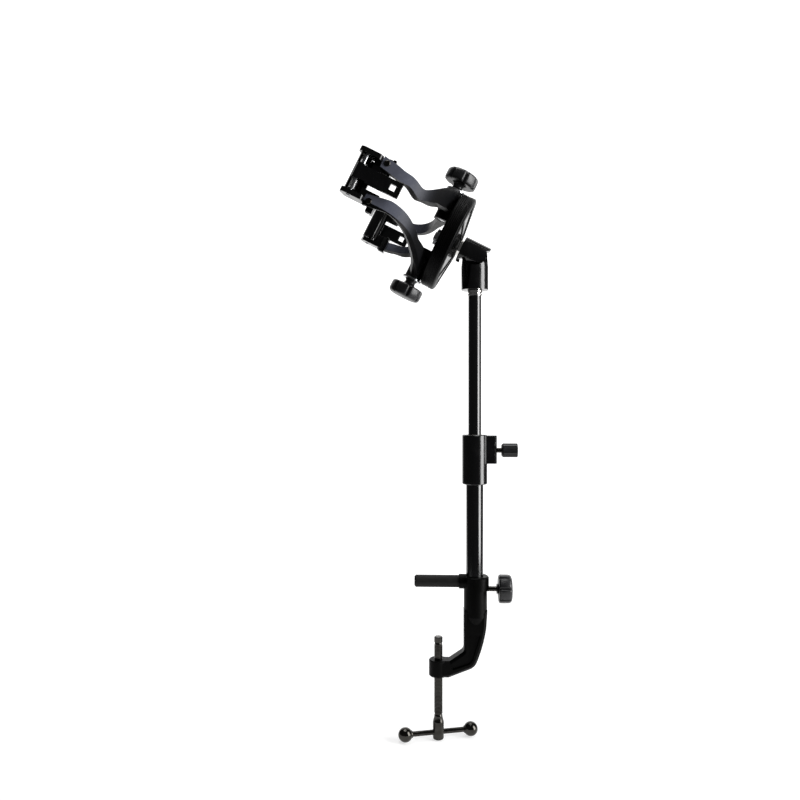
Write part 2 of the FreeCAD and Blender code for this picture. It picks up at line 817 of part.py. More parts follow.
def elbow_upper():
    body = new_body("elbow_upper", HOLDER)
    cylinder(body, ("-arm_back", "0", "0"), (1, 0, 0), "arm_r", "arm_back + arm_front")
    front = size("arm_front")
    chamfer(body, "0.7", lambda edge, middle: edge.Closed and abs(middle.x - front) < 1e-4)
    clear = "ear_r + 0.5"
    far_side = outline(
        sketch_on(body, "XZ_Plane", "-lap_gap"),
        ("-arm_back - 2", "arm_r + 1"),
        ("0", "arm_r + 1"),
        ("0", clear),
        ("(%s) * 0.7071" % clear, "(%s) * 0.7071" % clear, clear, "0"),
        ("ear_r + 1.3", "0"),
        ("ear_r - 1.4", "-arm_r - 1"),
        ("-arm_back - 2", "-arm_r - 1"),
    )
    pocket(body, far_side, "arm_r * 2", reverse=True)
    low_x = "near_ear_r * cos(41)"
    low_z = "-near_ear_r * sin(41)"
    back_x = "-near_ear_r * cos(38)"
    back_z = "near_ear_r * sin(38)"
    reach = "(arm_r + 1)"
    near_side = outline(
        sketch_on(body, "XZ_Plane", "lap_gap"),
        (low_x, low_z),
        (reach + " / tan(41)", "-" + reach),
        ("-arm_back - 2", "-" + reach),
        ("-arm_back - 2", "(arm_back + 2) * tan(38)"),
        (back_x, back_z),
        ("-near_ear_r * cos(50)", "-near_ear_r * sin(50)", low_x, low_z),
    )
    pocket(body, near_side, "arm_r * 2")
    cylinder(body, ("0", "0", "0"), (0, 1, 0), "pivot_bolt_r", "arm_r - 4", True)
    cylinder(body, ("ear_r + 0.3", "0", "0"), (1, 0, 0), "hub_shaft_r", "arm_front - ear_r", True)
    return body


def pivot_bolt():
    place = ELBOW * Placement(Vector(), Rotation(Vector(0, 0, 1), Vector(0, 1, 0)))
    seat = "-(ear_r - bolt_head_height - 1.3)"
    return turned(
        "pivot_bolt",
        place,
        ("0", seat + " - bolt_head_height"),
        ("bolt_head_r", seat + " - bolt_head_height"),
        ("bolt_head_r", seat + " - 0.05"),
        ("pivot_bolt_r", seat + " - 0.05"),
        ("pivot_bolt_r", "arm_r - 4.6"),
        ("0", "arm_r - 4.6"),
    )


HUB_AXIS = HOLDER * Placement(Vector(), ALONG_X)


def hub_stud():
    """Plug in the elbow, bright collar, plain shaft that the hub turns on and threaded end for the nut."""
    return turned(
        "hub_stud",
        HUB_AXIS,
        ("0", "ear_r + 0.6"),
        ("hub_shaft_r", "ear_r + 0.6"),
        ("hub_shaft_r", "arm_front + 0.05"),
        ("hub_nut_r", "arm_front + 0.05"),
        ("hub_nut_r", "hub_seat - 0.1"),
        ("hub_shaft_r", "hub_seat - 0.1"),
        ("hub_shaft_r", "hub_front"),
        ("4", "hub_front"),
        ("4", "hub_front + hub_nut_height + 2.6"),
        ("0", "hub_front + hub_nut_height + 2.6"),
    )


def hub_washer():
    return turned(
        "hub_washer",
        HUB_AXIS,
        ("4.1", "hub_front + 0.1"),
        ("8.4", "hub_front + 0.1"),
        ("8.4", "hub_front + 1.4"),
        ("4.1", "hub_front + 1.4"),
    )


def hub_nut():
    body = new_body("hub_nut", HUB_AXIS)
    hexagon = [("hub_nut_r * cos(%d)" % angle, "hub_nut_r * sin(%d)" % angle) for angle in range(0, 360, 60)]
    pad(body, outline(sketch_on(body, "XY_Plane", "hub_front + 1.4"), *hexagon), "hub_nut_height")
    cylinder(body, ("0", "0", "hub_front"), (0, 0, 1), "4", "hub_nut_height + 4", True)
    return body


# Hub: faceted rear cover and front shell with two lugs for the claw hinge
def hub_cover():
    crown = "hub_back - hub_dome"
    flat_r = "(hub_r - 2.6)"
    body = turned(
        "hub_cover",
        HUB_AXIS,
        ("hub_shaft_r + hub_gap", crown),
        (flat_r, crown),
        (flat_r, "hub_back"),
        ("hub_r - 1.8", "hub_back"),
        ("hub_r", "hub_back + 1.4"),
        ("hub_r", "hub_split"),
        ("hub_r - hub_wall", "hub_split"),
        ("hub_r - hub_wall", "hub_back + hub_wall"),
        ("hub_boss_r", "hub_back + hub_wall"),
        ("hub_boss_r", "hub_split"),
        ("hub_shaft_r + hub_gap", "hub_split"),
    )
    inner = "dome_inner_r * cos(180 / %d)" % FACETS
    outer = "%s * cos(180 / %d)" % (flat_r, FACETS)
    slope = outline(
        sketch_on(body, "XZ_Plane"),
        (inner, crown),
        (inner, crown + " - 1"),
        ("hub_r + 1", crown + " - 1"),
        ("hub_r + 1", "hub_back"),
        (outer, "hub_back"),
    )
    facet = pocket(body, slope, side="Symmetric")
    around(body, [facet], "Z_Axis", FACETS)
    cylinder(body, ("0", "0", crown + " - 1"), (0, 0, 1), "hub_nut_r + 1.6", "hub_seat - (%s) + 1" % crown, True)
    return body


def hub_body():
    ring = "hub_r - 0.8"
    body = turned(
        "hub_body",
        HUB_AXIS,
        ("hub_shaft_r + hub_gap", "hub_split + 0.1"),
        ("hub_boss_r", "hub_split + 0.1"),
        ("hub_boss_r", "hub_front - hub_wall - 0.6"),
        (ring + " - hub_wall", "hub_front - hub_wall - 0.6"),
        (ring + " - hub_wall", "hub_split + 0.1"),
        (ring, "hub_split + 0.1"),
        (ring, "hub_front - 1.2"),
        (ring + " - 1.2", "hub_front"),
        ("hub_shaft_r + hub_gap", "hub_front"),
    )
    ear = outline(
        sketch_on(body, "YZ_Plane", "root_inner - leaf_gap - lug_thickness"),
        ("-knuckle_r", "hub_front - 0.5"),
        ("-knuckle_r", "hinge_n"),
        ("0", "hinge_n + knuckle_r", "knuckle_r", "hinge_n"),
        ("knuckle_r", "hub_front - 0.5"),
    )
    lug = pad(body, ear, "lug_thickness")
    mirror(body, [lug], "YZ_Plane")
    cylinder(body, ("-root_inner", "0", "hinge_n"), (1, 0, 0), "stud_r + stud_gap", "root_inner * 2", True)
    return body


# Claw arms. In plan both faces are a long arc that runs into a tight one about the same bend centre
def sweep(root, bend_r):
    """Formulas for the two arcs of one face: half way, tangent point, half way, end of the bend."""
    centre_w = "(arm_reach - arm_tip_r)"
    back = "(arm_bend_n - %s)" % root
    long_r = "((%s^2 + %s^2 - %s^2) / (2 * (%s - %s)))" % (back, centre_w, bend_r, back, bend_r)
    cosine = "((%s - %s) / (%s - %s))" % (long_r, back, long_r, bend_r)
    sine = "(%s / (%s - %s))" % (centre_w, long_r, bend_r)
    half_cosine = "sqrt((1 + %s) / 2)" % cosine
    half_sine = "sqrt((1 - %s) / 2)" % cosine
    length = "sqrt(2 + 2 * %s)" % sine
    return (
        (
            "%s + %s * (1 - %s)" % (root, long_r, half_cosine),
            "%s * %s" % (long_r, half_sine),
            "arm_bend_n - %s * %s" % (bend_r, cosine),
            "%s + %s * %s" % (centre_w, bend_r, sine),
        ),
        (
            "arm_bend_n - %s * %s / %s" % (bend_r, cosine, length),
            "%s + %s * (1 + %s) / %s" % (centre_w, bend_r, sine, length),
            "arm_bend_n",
            "%s + %s" % (centre_w, bend_r),
        ),
    )


def claw_arm(label, place, forked):
    """One arm, above the middle when its root is forked and below it when its root is a tongue."""
    body = new_body(label, place)
    sign = "1" if forked else "-1"

    def at(n, u):
        return (n, "%s * (%s)" % (sign, u))

    def curve(via_n, via_u, n, u):
        return at(via_n, via_u) + at(n, u)

    side = outline(
        sketch_on(body, "XZ_Plane"),
        at("hinge_n - knuckle_r - 1", "root_inner"),
        at("hinge_n - knuckle_r - 1", "root_outer"),
        at("hinge_n + 1.5", "root_outer"),
        curve("hinge_n + 15.5", "root_outer - 14.6", "hinge_n + 36", "root_outer - 23.6"),
        at("arm_end", "arm_tip_outer"),
        at("arm_end", "arm_tip_inner"),
        at("hinge_n + 34.5", "root_inner - 13.9"),
        curve("hinge_n + 18", "root_inner - 10", "hinge_n + 4.5", "root_inner"),
    )
    pad(body, side, "arm_reach + 2", reverse=True)
    outer = sweep("arm_root_back", "arm_tip_r")
    behind = outline(
        sketch_on(body, "XY_Plane"),
        ("arm_root_back", "0"),
        outer[0],
        outer[1],
        ("arm_end + 2", "arm_reach"),
        ("arm_end + 2", "arm_reach + 4"),
        ("hinge_n - knuckle_r - 4", "arm_reach + 4"),
        ("hinge_n - knuckle_r - 4", "0"),
    )
    pocket(body, behind, side="Symmetric")
    inner = sweep("arm_root_front", "(arm_tip_r - arm_tip_thickness)")
    ahead = outline(
        sketch_on(body, "XY_Plane"),
        ("arm_root_front", "0"),
        inner[0],
        inner[1],
        ("arm_end + 2", "arm_reach - arm_tip_thickness"),
        ("arm_end + 2", "0"),
    )
    pocket(body, ahead, side="Symmetric")
    low = "root_inner" if forked else "-root_outer"
    cylinder(body, ("hinge_n", "0", low), (0, 0, 1), "knuckle_r", "root_outer - root_inner")
    slots = (("tongue_inner - leaf_gap", "tongue_outer - tongue_inner + leaf_gap * 2"),)
    if not forked:
        slots = (
            ("-tongue_inner", "tongue_inner - root_inner + 0.5"),
            ("-root_outer - 0.5", "root_outer - tongue_outer + 0.5"),
        )
    for start, height in slots:
        cylinder(body, ("hinge_n", "0", start), (0, 0, 1), "knuckle_r + 0.9", height, True)
    cylinder(body, ("hinge_n", "0", low), (0, 0, 1), "stud_r + stud_gap", "root_outer - root_inner", True)
    return body


# Jaw yoke at the tip of each claw
def yoke(label, place):
    body = new_body(label, place)
    wall = outline(
        sketch_on(body, "XZ_Plane", "-wall_inner"),
        ("wall_back", "slot_half"),
        ("wall_back", "flange_half"),
        ("wall_front", "flange_half"),
        ("wall_front", "-flange_half"),
        ("wall_back", "-flange_half"),
        ("wall_back", "-slot_half"),
        ("wall_front - 3.5", "-slot_half"),
        ("wall_front - 3.5", "slot_half"),
    )
    pad(body, wall, "wall_thickness", reverse=True)
    shelf = outline(
        sketch_on(body, "XY_Plane", "slot_half"),
        ("wall_back", "ledge_reach"),
        ("wall_back + ledge_thickness", "ledge_reach"),
        ("wall_back + ledge_thickness", "wall_inner + 1"),
        ("wall_back", "wall_inner + 1"),
    )
    ledge = pad(body, shelf, "ledge_half - slot_half")
    cheek = outline(
        sketch_on(body, "XY_Plane", "flange_half - flange_thickness"),
        ("flange_back", "wall_inner"),
        ("flange_back", "pin_w + 1.6"),
        ("flange_back + 1.3", "pin_w + 3.8", "flange_back + 4.4", "pin_w + 4.6"),
        ("pin_n + 1", "pin_w + 4.9"),
        ("flange_front - 0.7", "pin_w + 3", "flange_front", "pin_w - 3"),
        ("flange_front - 2.2", "wall_inner + 1"),
        ("flange_front - 5", "wall_inner"),
    )
    flange = pad(body, cheek, "flange_thickness")
    mirror(body, [ledge, flange], "XY_Plane")
    cylinder(body, ("pin_n", "pin_w", "-flange_half - 1"), (0, 0, 1), "pin_r", "flange_half * 2 + 2", True)
    return body


def rest_pads(label, place):
    """Rubber strips on the two ledges behind the tablet."""
    body = new_body(label, place)
    strip = outline(
        sketch_on(body, "XY_Plane", "slot_half + 0.6"),
        ("wall_back + ledge_thickness", "ledge_reach + 0.4"),
        ("rest_pad_front - 0.8", "ledge_reach + 0.4"),
        ("rest_pad_front", "ledge_reach + 1.2"),
        ("rest_pad_front", "wall_inner - 0.2"),
        ("wall_back + ledge_thickness", "wall_inner - 0.2"),
    )
    mirror(body, [pad(body, strip, "ledge_half - slot_half - 1.2")], "XY_Plane")
    return body


def jaw_pin(label, place):
    centre = place * Placement(Vector(size("pin_n"), size("pin_w"), 0), Rotation())
    end = "flange_half + 0.7"
    return turned(label, centre, ("0", "-(%s)" % end), ("pin_r - 0.02", "-(%s)" % end), ("pin_r - 0.02", end), ("0", end))


# Sprung lever: hook in front of the tablet, barrel on the pin, tail behind with a square hole
def jaw_lever(label, place):
    body = new_body(label, place)
    half = "flange_half - flange_thickness - lever_gap"
    hook = outline(
        sketch_on(body, "XY_Plane"),
        ("pin_n - 4.6", "pin_w - 4.4"),
        ("pin_n - 4.6", "pin_w + 2.6"),
        ("pin_n + 1.2", "pin_w + 4"),
        ("pin_n + 6.2", "pin_w - 2.6", "pin_n + 6.4", "pin_w - 8.6"),
        ("pin_n + 3.4", "pin_w - 15.4", "hook_tip_n + 0.6", "hook_tip_w"),
        ("hook_tip_n", "hook_tip_w + 0.6"),
        ("hook_tip_n", "wall_inner - 0.6"),
        ("pin_n - 1.6", "pin_w - 7.4"),
    )
    pad(body, hook, "(%s) * 2" % half, "Symmetric")
    tail_outer = "pin_w + 3.7"
    tail = outline(
        sketch_on(body, "XY_Plane"),
        ("pin_n", "pin_w + 1"),
        ("pin_n", "pin_w + 4.3"),
        ("pin_n - 6", tail_outer),
        ("tail_end + 3", tail_outer),
        ("tail_end", "%s + 1.2" % tail_outer),
        ("tail_end", "%s - 1.6" % tail_outer),
        ("tail_end + 3.4", "%s - tail_thickness" % tail_outer),
        ("pin_n - 6", "%s - tail_thickness" % tail_outer),
    )
    pad(body, tail, "tail_half * 2", "Symmetric")
    window = "spring_coil_r + spring_wire_r + 1.5"
    spring_top = "spring_bottom - spring_pitch * %d - spring_wire_r * 2 - 0.5" % SPRING_TURNS
    for start, height in (
        ("-(%s) - 1" % half, "(%s) + 1 - (%s)" % (half, spring_top)),
        ("7.4", "(%s) - 6.4" % half),
    ):
        gap = outline(
            sketch_on(body, "XY_Plane", start),
            ("pin_n - 8", "pin_w"),
            ("pin_n - (%s)" % window, "pin_w"),
            ("pin_n", "pin_w - (%s)" % window, "pin_n + %s" % window, "pin_w"),
            ("pin_n + 8", "pin_w"),
            ("pin_n + 8", "pin_w + 8"),
            ("pin_n - 8", "pin_w + 8"),
        )
        pocket(body, gap, height, reverse=True)
    cylinder(body, ("pin_n", "pin_w", "-(%s)" % spring_top), (0, 0, 1), "barrel_r", "(%s) + 7.4" % spring_top)
    cylinder(body, ("pin_n", "pin_w", "-(%s) - 1" % half), (0, 0, 1), "pin_r + pin_gap", "(%s) * 2 + 2" % half, True)
    hole = outline(
        sketch_on(body, "XZ_Plane", "-pin_w"),
        ("tail_end + 4.6", "-tail_hole / 2"),
        ("tail_end + 4.6 + tail_hole", "-tail_hole / 2"),
        ("tail_end + 4.6 + tail_hole", "tail_hole / 2"),
        ("tail_end + 4.6", "tail_hole / 2"),
    )
    pocket(body, hole, side="Symmetric")
    return body


def jaw_pad(label, place):
    body = new_body(label, place)
    block = outline(
        sketch_on(body, "XY_Plane"),
        ("hook_tip_n - 0.02", "hook_tip_w + 0.9"),
        ("hook_tip_n - 0.02", "wall_inner - 0.9"),
        ("hook_tip_n - jaw_pad_thickness", "wall_inner - 0.9"),
        ("hook_tip_n - jaw_pad_thickness", "hook_tip_w + 1.7"),
        ("hook_tip_n - jaw_pad_thickness + 0.8", "hook_tip_w + 0.9"),
    )
    pad(body, block, "(flange_half - flange_thickness - lever_gap - 1) * 2", "Symmetric")
    return body


def helix_point(turns):
    angle = 2 * math.pi * turns
    radius = size("spring_coil_r")
    return Vector(radius * math.cos(angle), radius * math.sin(angle), size("spring_pitch") * turns)


def helix_tangent(turns):
    angle = 2 * math.pi * turns
    radius = size("spring_coil_r")
    way = Vector(-radius * math.sin(angle), radius * math.cos(angle), size("spring_pitch") / (2 * math.pi))
    return way.normalize()


def arc_from(start, way, end):
    """The arc that leaves a point along a direction and reaches another point."""
    chord = end - start
    corner = start + way * (chord.dot(chord) / (2 * way.dot(chord)))
    cosine = way.dot(chord) / chord.Length
    middle = (start + end) * 0.5
    return Part.Arc(start, middle + (corner - middle) * (cosine / (1 + cosine)), end)


def spring_arcs(turns):
    """Two arcs for each quarter turn of the coil, which leave and arrive along the helix."""
    arcs = []
    for quarter in range(turns * 4):
        a, b = helix_point(quarter / 4.0), helix_point((quarter + 1) / 4.0)
        start_way, end_way = helix_tangent(quarter / 4.0), helix_tangent((quarter + 1) / 4.0)
        chord = b - a
        both = start_way + end_way
        bend = 2 * (1 - start_way.dot(end_way))
        reach = (-chord.dot(both) + math.sqrt(chord.dot(both) ** 2 + bend * chord.dot(chord))) / bend
        joint = (a + b + (start_way - end_way) * reach) * 0.5
        arcs.append(arc_from(a, start_way, joint))
        arcs.append(arc_from(b, end_way * -1, joint))
    return arcs


def spring_gap(turns):
    """Least air between turns of the wire, measured on points at least half a turn apart."""
    steps = 24
    points = [helix_point(step / float(steps)) for step in range(turns * steps + 1)]
    least = min(
        a.distanceToPoint(b)
        for index, a in enumerate(points)
        for b in points[index + steps // 2 :]
    )
    return least - 2 * size("spring_wire_r")


def jaw_spring(label, place):
    """Torsion spring round the pin: one tube along the coil with a short straight leg at each end."""
    edges = [arc.toShape() for arc in spring_arcs(SPRING_TURNS)]
    leg = size("spring_coil_r")
    start, start_way = helix_point(0), helix_tangent(0)
    end, end_way = helix_point(SPRING_TURNS), helix_tangent(SPRING_TURNS)
    edges.insert(0, Part.LineSegment(start - start_way * leg, start).toShape())
    edges.append(Part.LineSegment(end, end + end_way * leg).toShape())
    spine = Part.Wire(Part.__sortEdges__(edges))
    ring = Part.Wire(Part.makeCircle(size("spring_wire_r"), start - start_way * leg, start_way))
    shape = spine.makePipeShell([ring], True, False)
    seat = place * Placement(Vector(size("pin_n"), size("pin_w"), -size("spring_bottom")), Rotation(Vector(0, 0, 1), 20))
    return plain(label, shape, seat)


def claw_knob(side, sign):
    place = HOLDER * Placement(Vector(size("hinge_n"), 0, 0), Rotation(Vector(1, 0, 0), 0 if sign > 0 else 180))
    stud(side + "_claw_stud", place, "stud_r", "root_inner - leaf_gap - lug_thickness + 0.4", "knob_base + 12")
    lobed_knob(
        side + "_claw_knob",
        place,
        "knob_base",
        "knob_stem_r",
        "knob_stem_length",
        "knob_r",
        "knob_thickness",
        "stud_r",
    )
    turned(
        side + "_claw_washer",
        place,
        ("stud_r + 0.15", "root_outer + 0.1"),
        ("washer_r", "root_outer + 0.1"),
        ("washer_r", "root_outer + 0.1 + washer_thickness"),
        ("stud_r + 0.15", "root_outer + 0.1 + washer_thickness"),
    )


def build():
    clamp_frame()
    jaw_rod()
    jaw_sleeve()
    screw_tip_cap()
    clamp_screw()
    tommy_bar()
    tommy_ball("tommy_ball_left", "-1")
    tommy_ball("tommy_ball_right", "1")
    lower_tube()
    height_sleeve()
    sleeve_bush()
    upper_tube()
    tube_foot()
    neck_stud()
    post = lock_place("-post_stud_drop")
    stud("post_lock_stud", post, "post_stud_r", "lower_tube_r + tube_gap + shoe_length + 0.1", "post_knob_reach + 8")
    stud("post_lock_shoe", post, "post_stud_r - 0.1", "lower_tube_r + tube_gap", "lower_tube_r + tube_gap + shoe_length")
    lobed_knob(
        "post_lock_knob", post, "post_knob_reach", "5", "1.6", "post_knob_r", "post_knob_thickness - 1.6", "post_stud_r"
    )
    height = lock_place("height_stud_z")
    stud("height_lock_stud", height, "height_stud_r", "upper_tube_r + shoe_length + 0.2", "height_knob_reach + 8")
    stud("height_lock_shoe", height, "height_stud_r - 0.1", "upper_tube_r + 0.1", "upper_tube_r + 0.1 + shoe_length")
    knurled_knob()
    elbow_lower()
    elbow_upper()
    pivot_bolt()
    hub_stud()
    hub_washer()
    hub_nut()
    hub_cover()
    hub_body()
    for side, place, upper, lower in (("near", HOLDER, "upper", "lower"), ("far", FAR, "lower", "upper")):
        claw_arm("%s_%s_arm" % (side, upper), place, True)
        claw_arm("%s_%s_arm" % (side, lower), place, False)
        yoke(side + "_yoke", place)
        rest_pads(side + "_rest_pads", place)
        jaw_pin(side + "_jaw_pin", place)
        jaw_spring(side + "_jaw_spring", place)
        jaw_lever(side + "_jaw_lever", place)
        jaw_pad(side + "_jaw_pad", place)
    claw_knob("upper", 1)
    claw_knob("lower", -1)
    print("least gap between the turns of a spring: %.2f mm" % spring_gap(SPRING_TURNS))


def export():
    doc.recompute()
    for thing in doc.Objects:
        if "Invalid" in thing.State or "Error" in thing.State:
            raise ValueError("%s is in a bad state" % thing.Label)
    for thing in doc.Objects:
        if thing.TypeId not in ("PartDesign::Body", "Part::Feature"):
            continue
        if thing.Shape.isNull() or not thing.Shape.isValid():
            raise ValueError("%s has no valid shape" % thing.Label)
        thing.Shape.exportStep("parts/%s.step" % thing.Label)


build()
export()
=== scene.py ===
"""Tablet holder on a table clamp: finishes, threads, springs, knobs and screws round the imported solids."""

import math

import bmesh
import bpy
from mathutils import Matrix, Vector


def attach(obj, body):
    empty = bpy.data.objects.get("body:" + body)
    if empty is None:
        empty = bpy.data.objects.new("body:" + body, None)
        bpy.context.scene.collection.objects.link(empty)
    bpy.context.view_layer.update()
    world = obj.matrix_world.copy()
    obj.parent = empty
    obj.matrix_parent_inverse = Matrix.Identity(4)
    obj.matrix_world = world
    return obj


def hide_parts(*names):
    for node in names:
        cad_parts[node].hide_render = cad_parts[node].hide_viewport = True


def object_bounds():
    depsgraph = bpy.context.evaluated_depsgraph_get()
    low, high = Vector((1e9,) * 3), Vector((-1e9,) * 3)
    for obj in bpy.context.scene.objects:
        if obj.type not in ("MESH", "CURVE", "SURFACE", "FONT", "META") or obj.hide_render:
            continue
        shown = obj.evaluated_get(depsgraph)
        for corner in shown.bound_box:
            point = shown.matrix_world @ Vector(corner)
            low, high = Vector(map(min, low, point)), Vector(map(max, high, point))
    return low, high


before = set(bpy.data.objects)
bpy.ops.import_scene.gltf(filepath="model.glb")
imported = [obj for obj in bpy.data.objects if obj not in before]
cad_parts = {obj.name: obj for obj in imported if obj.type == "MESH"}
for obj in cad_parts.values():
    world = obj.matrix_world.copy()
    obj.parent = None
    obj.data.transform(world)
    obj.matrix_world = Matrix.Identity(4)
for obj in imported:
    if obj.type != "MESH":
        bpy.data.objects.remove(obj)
CAD_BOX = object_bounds()

MM = 0.001
TAU = 2 * math.pi
QUARTER = math.pi / 2

# Places that the solids also have, in millimetres. The holder has axes of its own: N from the pivot out
# through the hub, W to the near claw and U along the claws' hinge
REACH = 33.6
PIVOT_Z = 307.2
REST_TILT = math.radians(26.7)
BAR_TURN = math.radians(14)
BAR_Z = -134.7
POST_STUD_Z = -1.2
HEIGHT_STUD_Z = 127.1
HINGE_N = 42.5
PIN_N = 110.5
PIN_W = 94.6


def local_frame(axes, origin):
    """The matrix of a frame with these three axes and its origin in millimetres."""
    matrix = Matrix(axes).transposed().to_4x4()
    matrix.translation = Vector(origin) * MM
    return matrix


def shift(x, y, z):
    return Matrix.Translation(Vector((x, y, z)) * MM)


def turned(angle, axis):
    return Matrix.Rotation(angle, 4, axis)


# Local frames: a piece that turns about a line is made round its own Z axis
UNMOVED = Matrix.Identity(4)
FORWARDS = Vector((-math.cos(REST_TILT), 0, math.sin(REST_TILT)))
UPWARDS = Vector((math.sin(REST_TILT), 0, math.cos(REST_TILT)))
STUD_AXES = ((0, 0, -1), (0, 1, 0), (1, 0, 0))
BOLT_AXES = ((-1, 0, 0), (0, 0, 1), (0, -1, 0))
HOLDER = local_frame((FORWARDS, (0, -1, 0), UPWARDS), (REACH, 0, PIVOT_Z))
FAR_HOLDER = HOLDER @ turned(math.pi, "X")
HUB_AXIS = HOLDER @ turned(QUARTER, "Y")
POST = shift(REACH, 0, 0)
SCREW_AXIS = turned(BAR_TURN, "Z")
POST_STUD = local_frame(STUD_AXES, (REACH, 0, POST_STUD_Z))
HEIGHT_STUD = local_frame(STUD_AXES, (REACH, 0, HEIGHT_STUD_Z))
PIVOT_AXIS = local_frame(BOLT_AXES, (REACH, 0, PIVOT_Z))
UPPER_HINGE = HOLDER @ shift(HINGE_N, 0, 0)
LOWER_HINGE = FAR_HOLDER @ shift(HINGE_N, 0, 0)

# The mix node's colour sockets by number, because their names repeat
MIX_UNDER = 6
MIX_OVER = 7
MIX_RESULT = 2
NOISE_ROUGHNESS = 0.55


# Shader sums
class Wire:
    """A socket of a material, which can be used in sums like a number."""

    def __init__(self, finish, socket):
        self.finish = finish
        self.socket = socket

    def sum(self, operation, *values):
        return self.finish.node("ShaderNodeMath", {"operation": operation}, dict(enumerate(values)))

    def __add__(self, other):
        return self.sum("ADD", self, other)

    def __radd__(self, other):
        return self.sum("ADD", other, self)

    def __sub__(self, other):
        return self.sum("SUBTRACT", self, other)

    def __rsub__(self, other):
        return self.sum("SUBTRACT", other, self)

    def __mul__(self, other):
        return self.sum("MULTIPLY", self, other)

    def __rmul__(self, other):
        return self.sum("MULTIPLY", other, self)

    def __abs__(self):
        return self.sum("ABSOLUTE", self)

    def between(self, low, high):
        """0 below low, 1 above high and smooth in between."""
        settings = {"interpolation_type": "SMOOTHSTEP"}
        values = {"Value": self, "From Min": low, "From Max": high}
        return self.finish.node("ShaderNodeMapRange", settings, values)


class Finish:
    """A Principled material and the few node shapes that its detail is made of."""

    def __init__(self, name, metallic=0.0, **constant):
        self.material = bpy.data.materials.new(name)
        self.material.use_nodes = True
        self.tree = self.material.node_tree
        self.shader = next(node for node in self.tree.nodes if node.type == "BSDF_PRINCIPLED")
        self.put("Metallic", metallic)
        for socket, value in constant.items():
            self.put(socket.replace("_", " "), value)
        self.place = self.node("ShaderNodeTexCoord", {}, {}, "Object")

    def node(self, kind, settings, values, output=0):
        made = self.tree.nodes.new(kind)
        for setting, value in settings.items():
            setattr(made, setting, value)
        for socket, value in values.items():
            self.feed(made.inputs[socket], value)
        return Wire(self, made.outputs[output])

    def feed(self, socket, value):
        if isinstance(value, Wire):
            self.tree.links.new(value.socket, socket)
        else:
            socket.default_value = value

    def put(self, socket, value):
        self.feed(self.shader.inputs[socket], value)

    def axes(self):
        """X, Y and Z of a point, in metres."""
        split = self.tree.nodes.new("ShaderNodeSeparateXYZ")
        self.tree.links.new(self.place.socket, split.inputs[0])
        return [Wire(self, output) for output in split.outputs]

    def vector(self, operation, first, second, output="Vector"):
        return self.node("ShaderNodeVectorMath", {"operation": operation}, {0: first, 1: second}, output)

    def along(self, way, start):
        """How far a point lies along a direction from a start point, in metres."""
        offset = self.vector("SUBTRACT", self.place, tuple(start))
        return self.vector("DOT_PRODUCT", offset, tuple(way), "Value")

    def noise(self, size, detail, stretch=(1.0, 1.0, 1.0)):
        """Noise from 0 to 1 with spots about size metres across, longer where stretch is small."""
        scaled = self.vector("MULTIPLY", self.place, tuple(axis / size for axis in stretch))
        values = {"Vector": scaled, "Scale": 1.0, "Detail": detail, "Roughness": NOISE_ROUGHNESS}
        return self.node("ShaderNodeTexNoise", {}, values)

    def cells(self, size):
        """Grain: the distance from the middle of the nearest cell, with cells about size metres across."""
        values = {"Vector": self.place, "Scale": 1.0 / size}
        return self.node("ShaderNodeTexVoronoi", {"feature": "F1"}, values)

    def mix(self, mask, under, over):
        """Colour under, going over to the other where the mask is 1."""
        under, over = [side if isinstance(side, Wire) else (*side, 1.0) for side in (under, over)]
        values = {"Factor": mask, MIX_UNDER: under, MIX_OVER: over}
        return self.node("ShaderNodeMix", {"data_type": "RGBA"}, values, MIX_RESULT)

    def bump(self, height, depth):
        """Relief that is depth metres high where height is 1."""
        values = {"Height": height, "Distance": depth, "Strength": 1.0}
        self.put("Normal", self.node("ShaderNodeBump", {}, values))


# Finishes
def cast_lacquer():
    """Black lacquer over cast metal: orange peel, faint dust and the casting's seam down the middle."""
    finish = Finish("cast_lacquer", Specular_IOR_Level=0.06)
    peel = finish.noise(1.2 * MM, 2)
    lumps = finish.noise(11 * MM, 2)
    dust = finish.noise(4.5 * MM, 5).between(0.55, 0.85)
    seam = 1 - abs(finish.axes()[1]).between(0.2 * MM, 0.6 * MM)
    finish.put("Base Color", finish.mix(dust * 0.6, (0.001, 0.001, 0.0009), (0.005, 0.005, 0.0046)))
    finish.put("Roughness", 0.3 + lumps * 0.16 + dust * 0.12)
    finish.bump(peel * 0.35 + lumps * 0.65 + seam * 0.7, 0.18 * MM)
    return finish.material


def enamel():
    """Glossy black enamel of the sleeve and the elbow, with a soft peel and wipe marks."""
    finish = Finish("black_enamel", Specular_IOR_Level=0.45, Coat_Weight=0.2, Coat_Roughness=0.12)
    peel = finish.noise(1.6 * MM, 2)
    wipe = finish.noise(12 * MM, 4).between(0.45, 0.8)
    finish.put("Base Color", finish.mix(wipe * 0.5, (0.0016, 0.0016, 0.0018), (0.006, 0.006, 0.0064)))
    finish.put("Roughness", 0.18 + wipe * 0.12)
    finish.bump(peel, 0.05 * MM)
    return finish.material


def tube_lacquer():
    """Deep glossy black on drawn tube, with faint draw lines and wipe marks."""
    finish = Finish("tube_lacquer", Specular_IOR_Level=0.5, Coat_Weight=0.4, Coat_Roughness=0.1)
    draw_lines = finish.noise(0.7 * MM, 2, (1.0, 1.0, 0.02))
    wipe = finish.noise(20 * MM, 4, (1.0, 1.0, 0.5)).between(0.45, 0.8)
    finish.put("Base Color", finish.mix(wipe * 0.5, (0.0015, 0.0015, 0.0017), (0.005, 0.005, 0.0054)))
    finish.put("Roughness", 0.13 + wipe * 0.12)
    finish.bump(draw_lines, 0.02 * MM)
    return finish.material


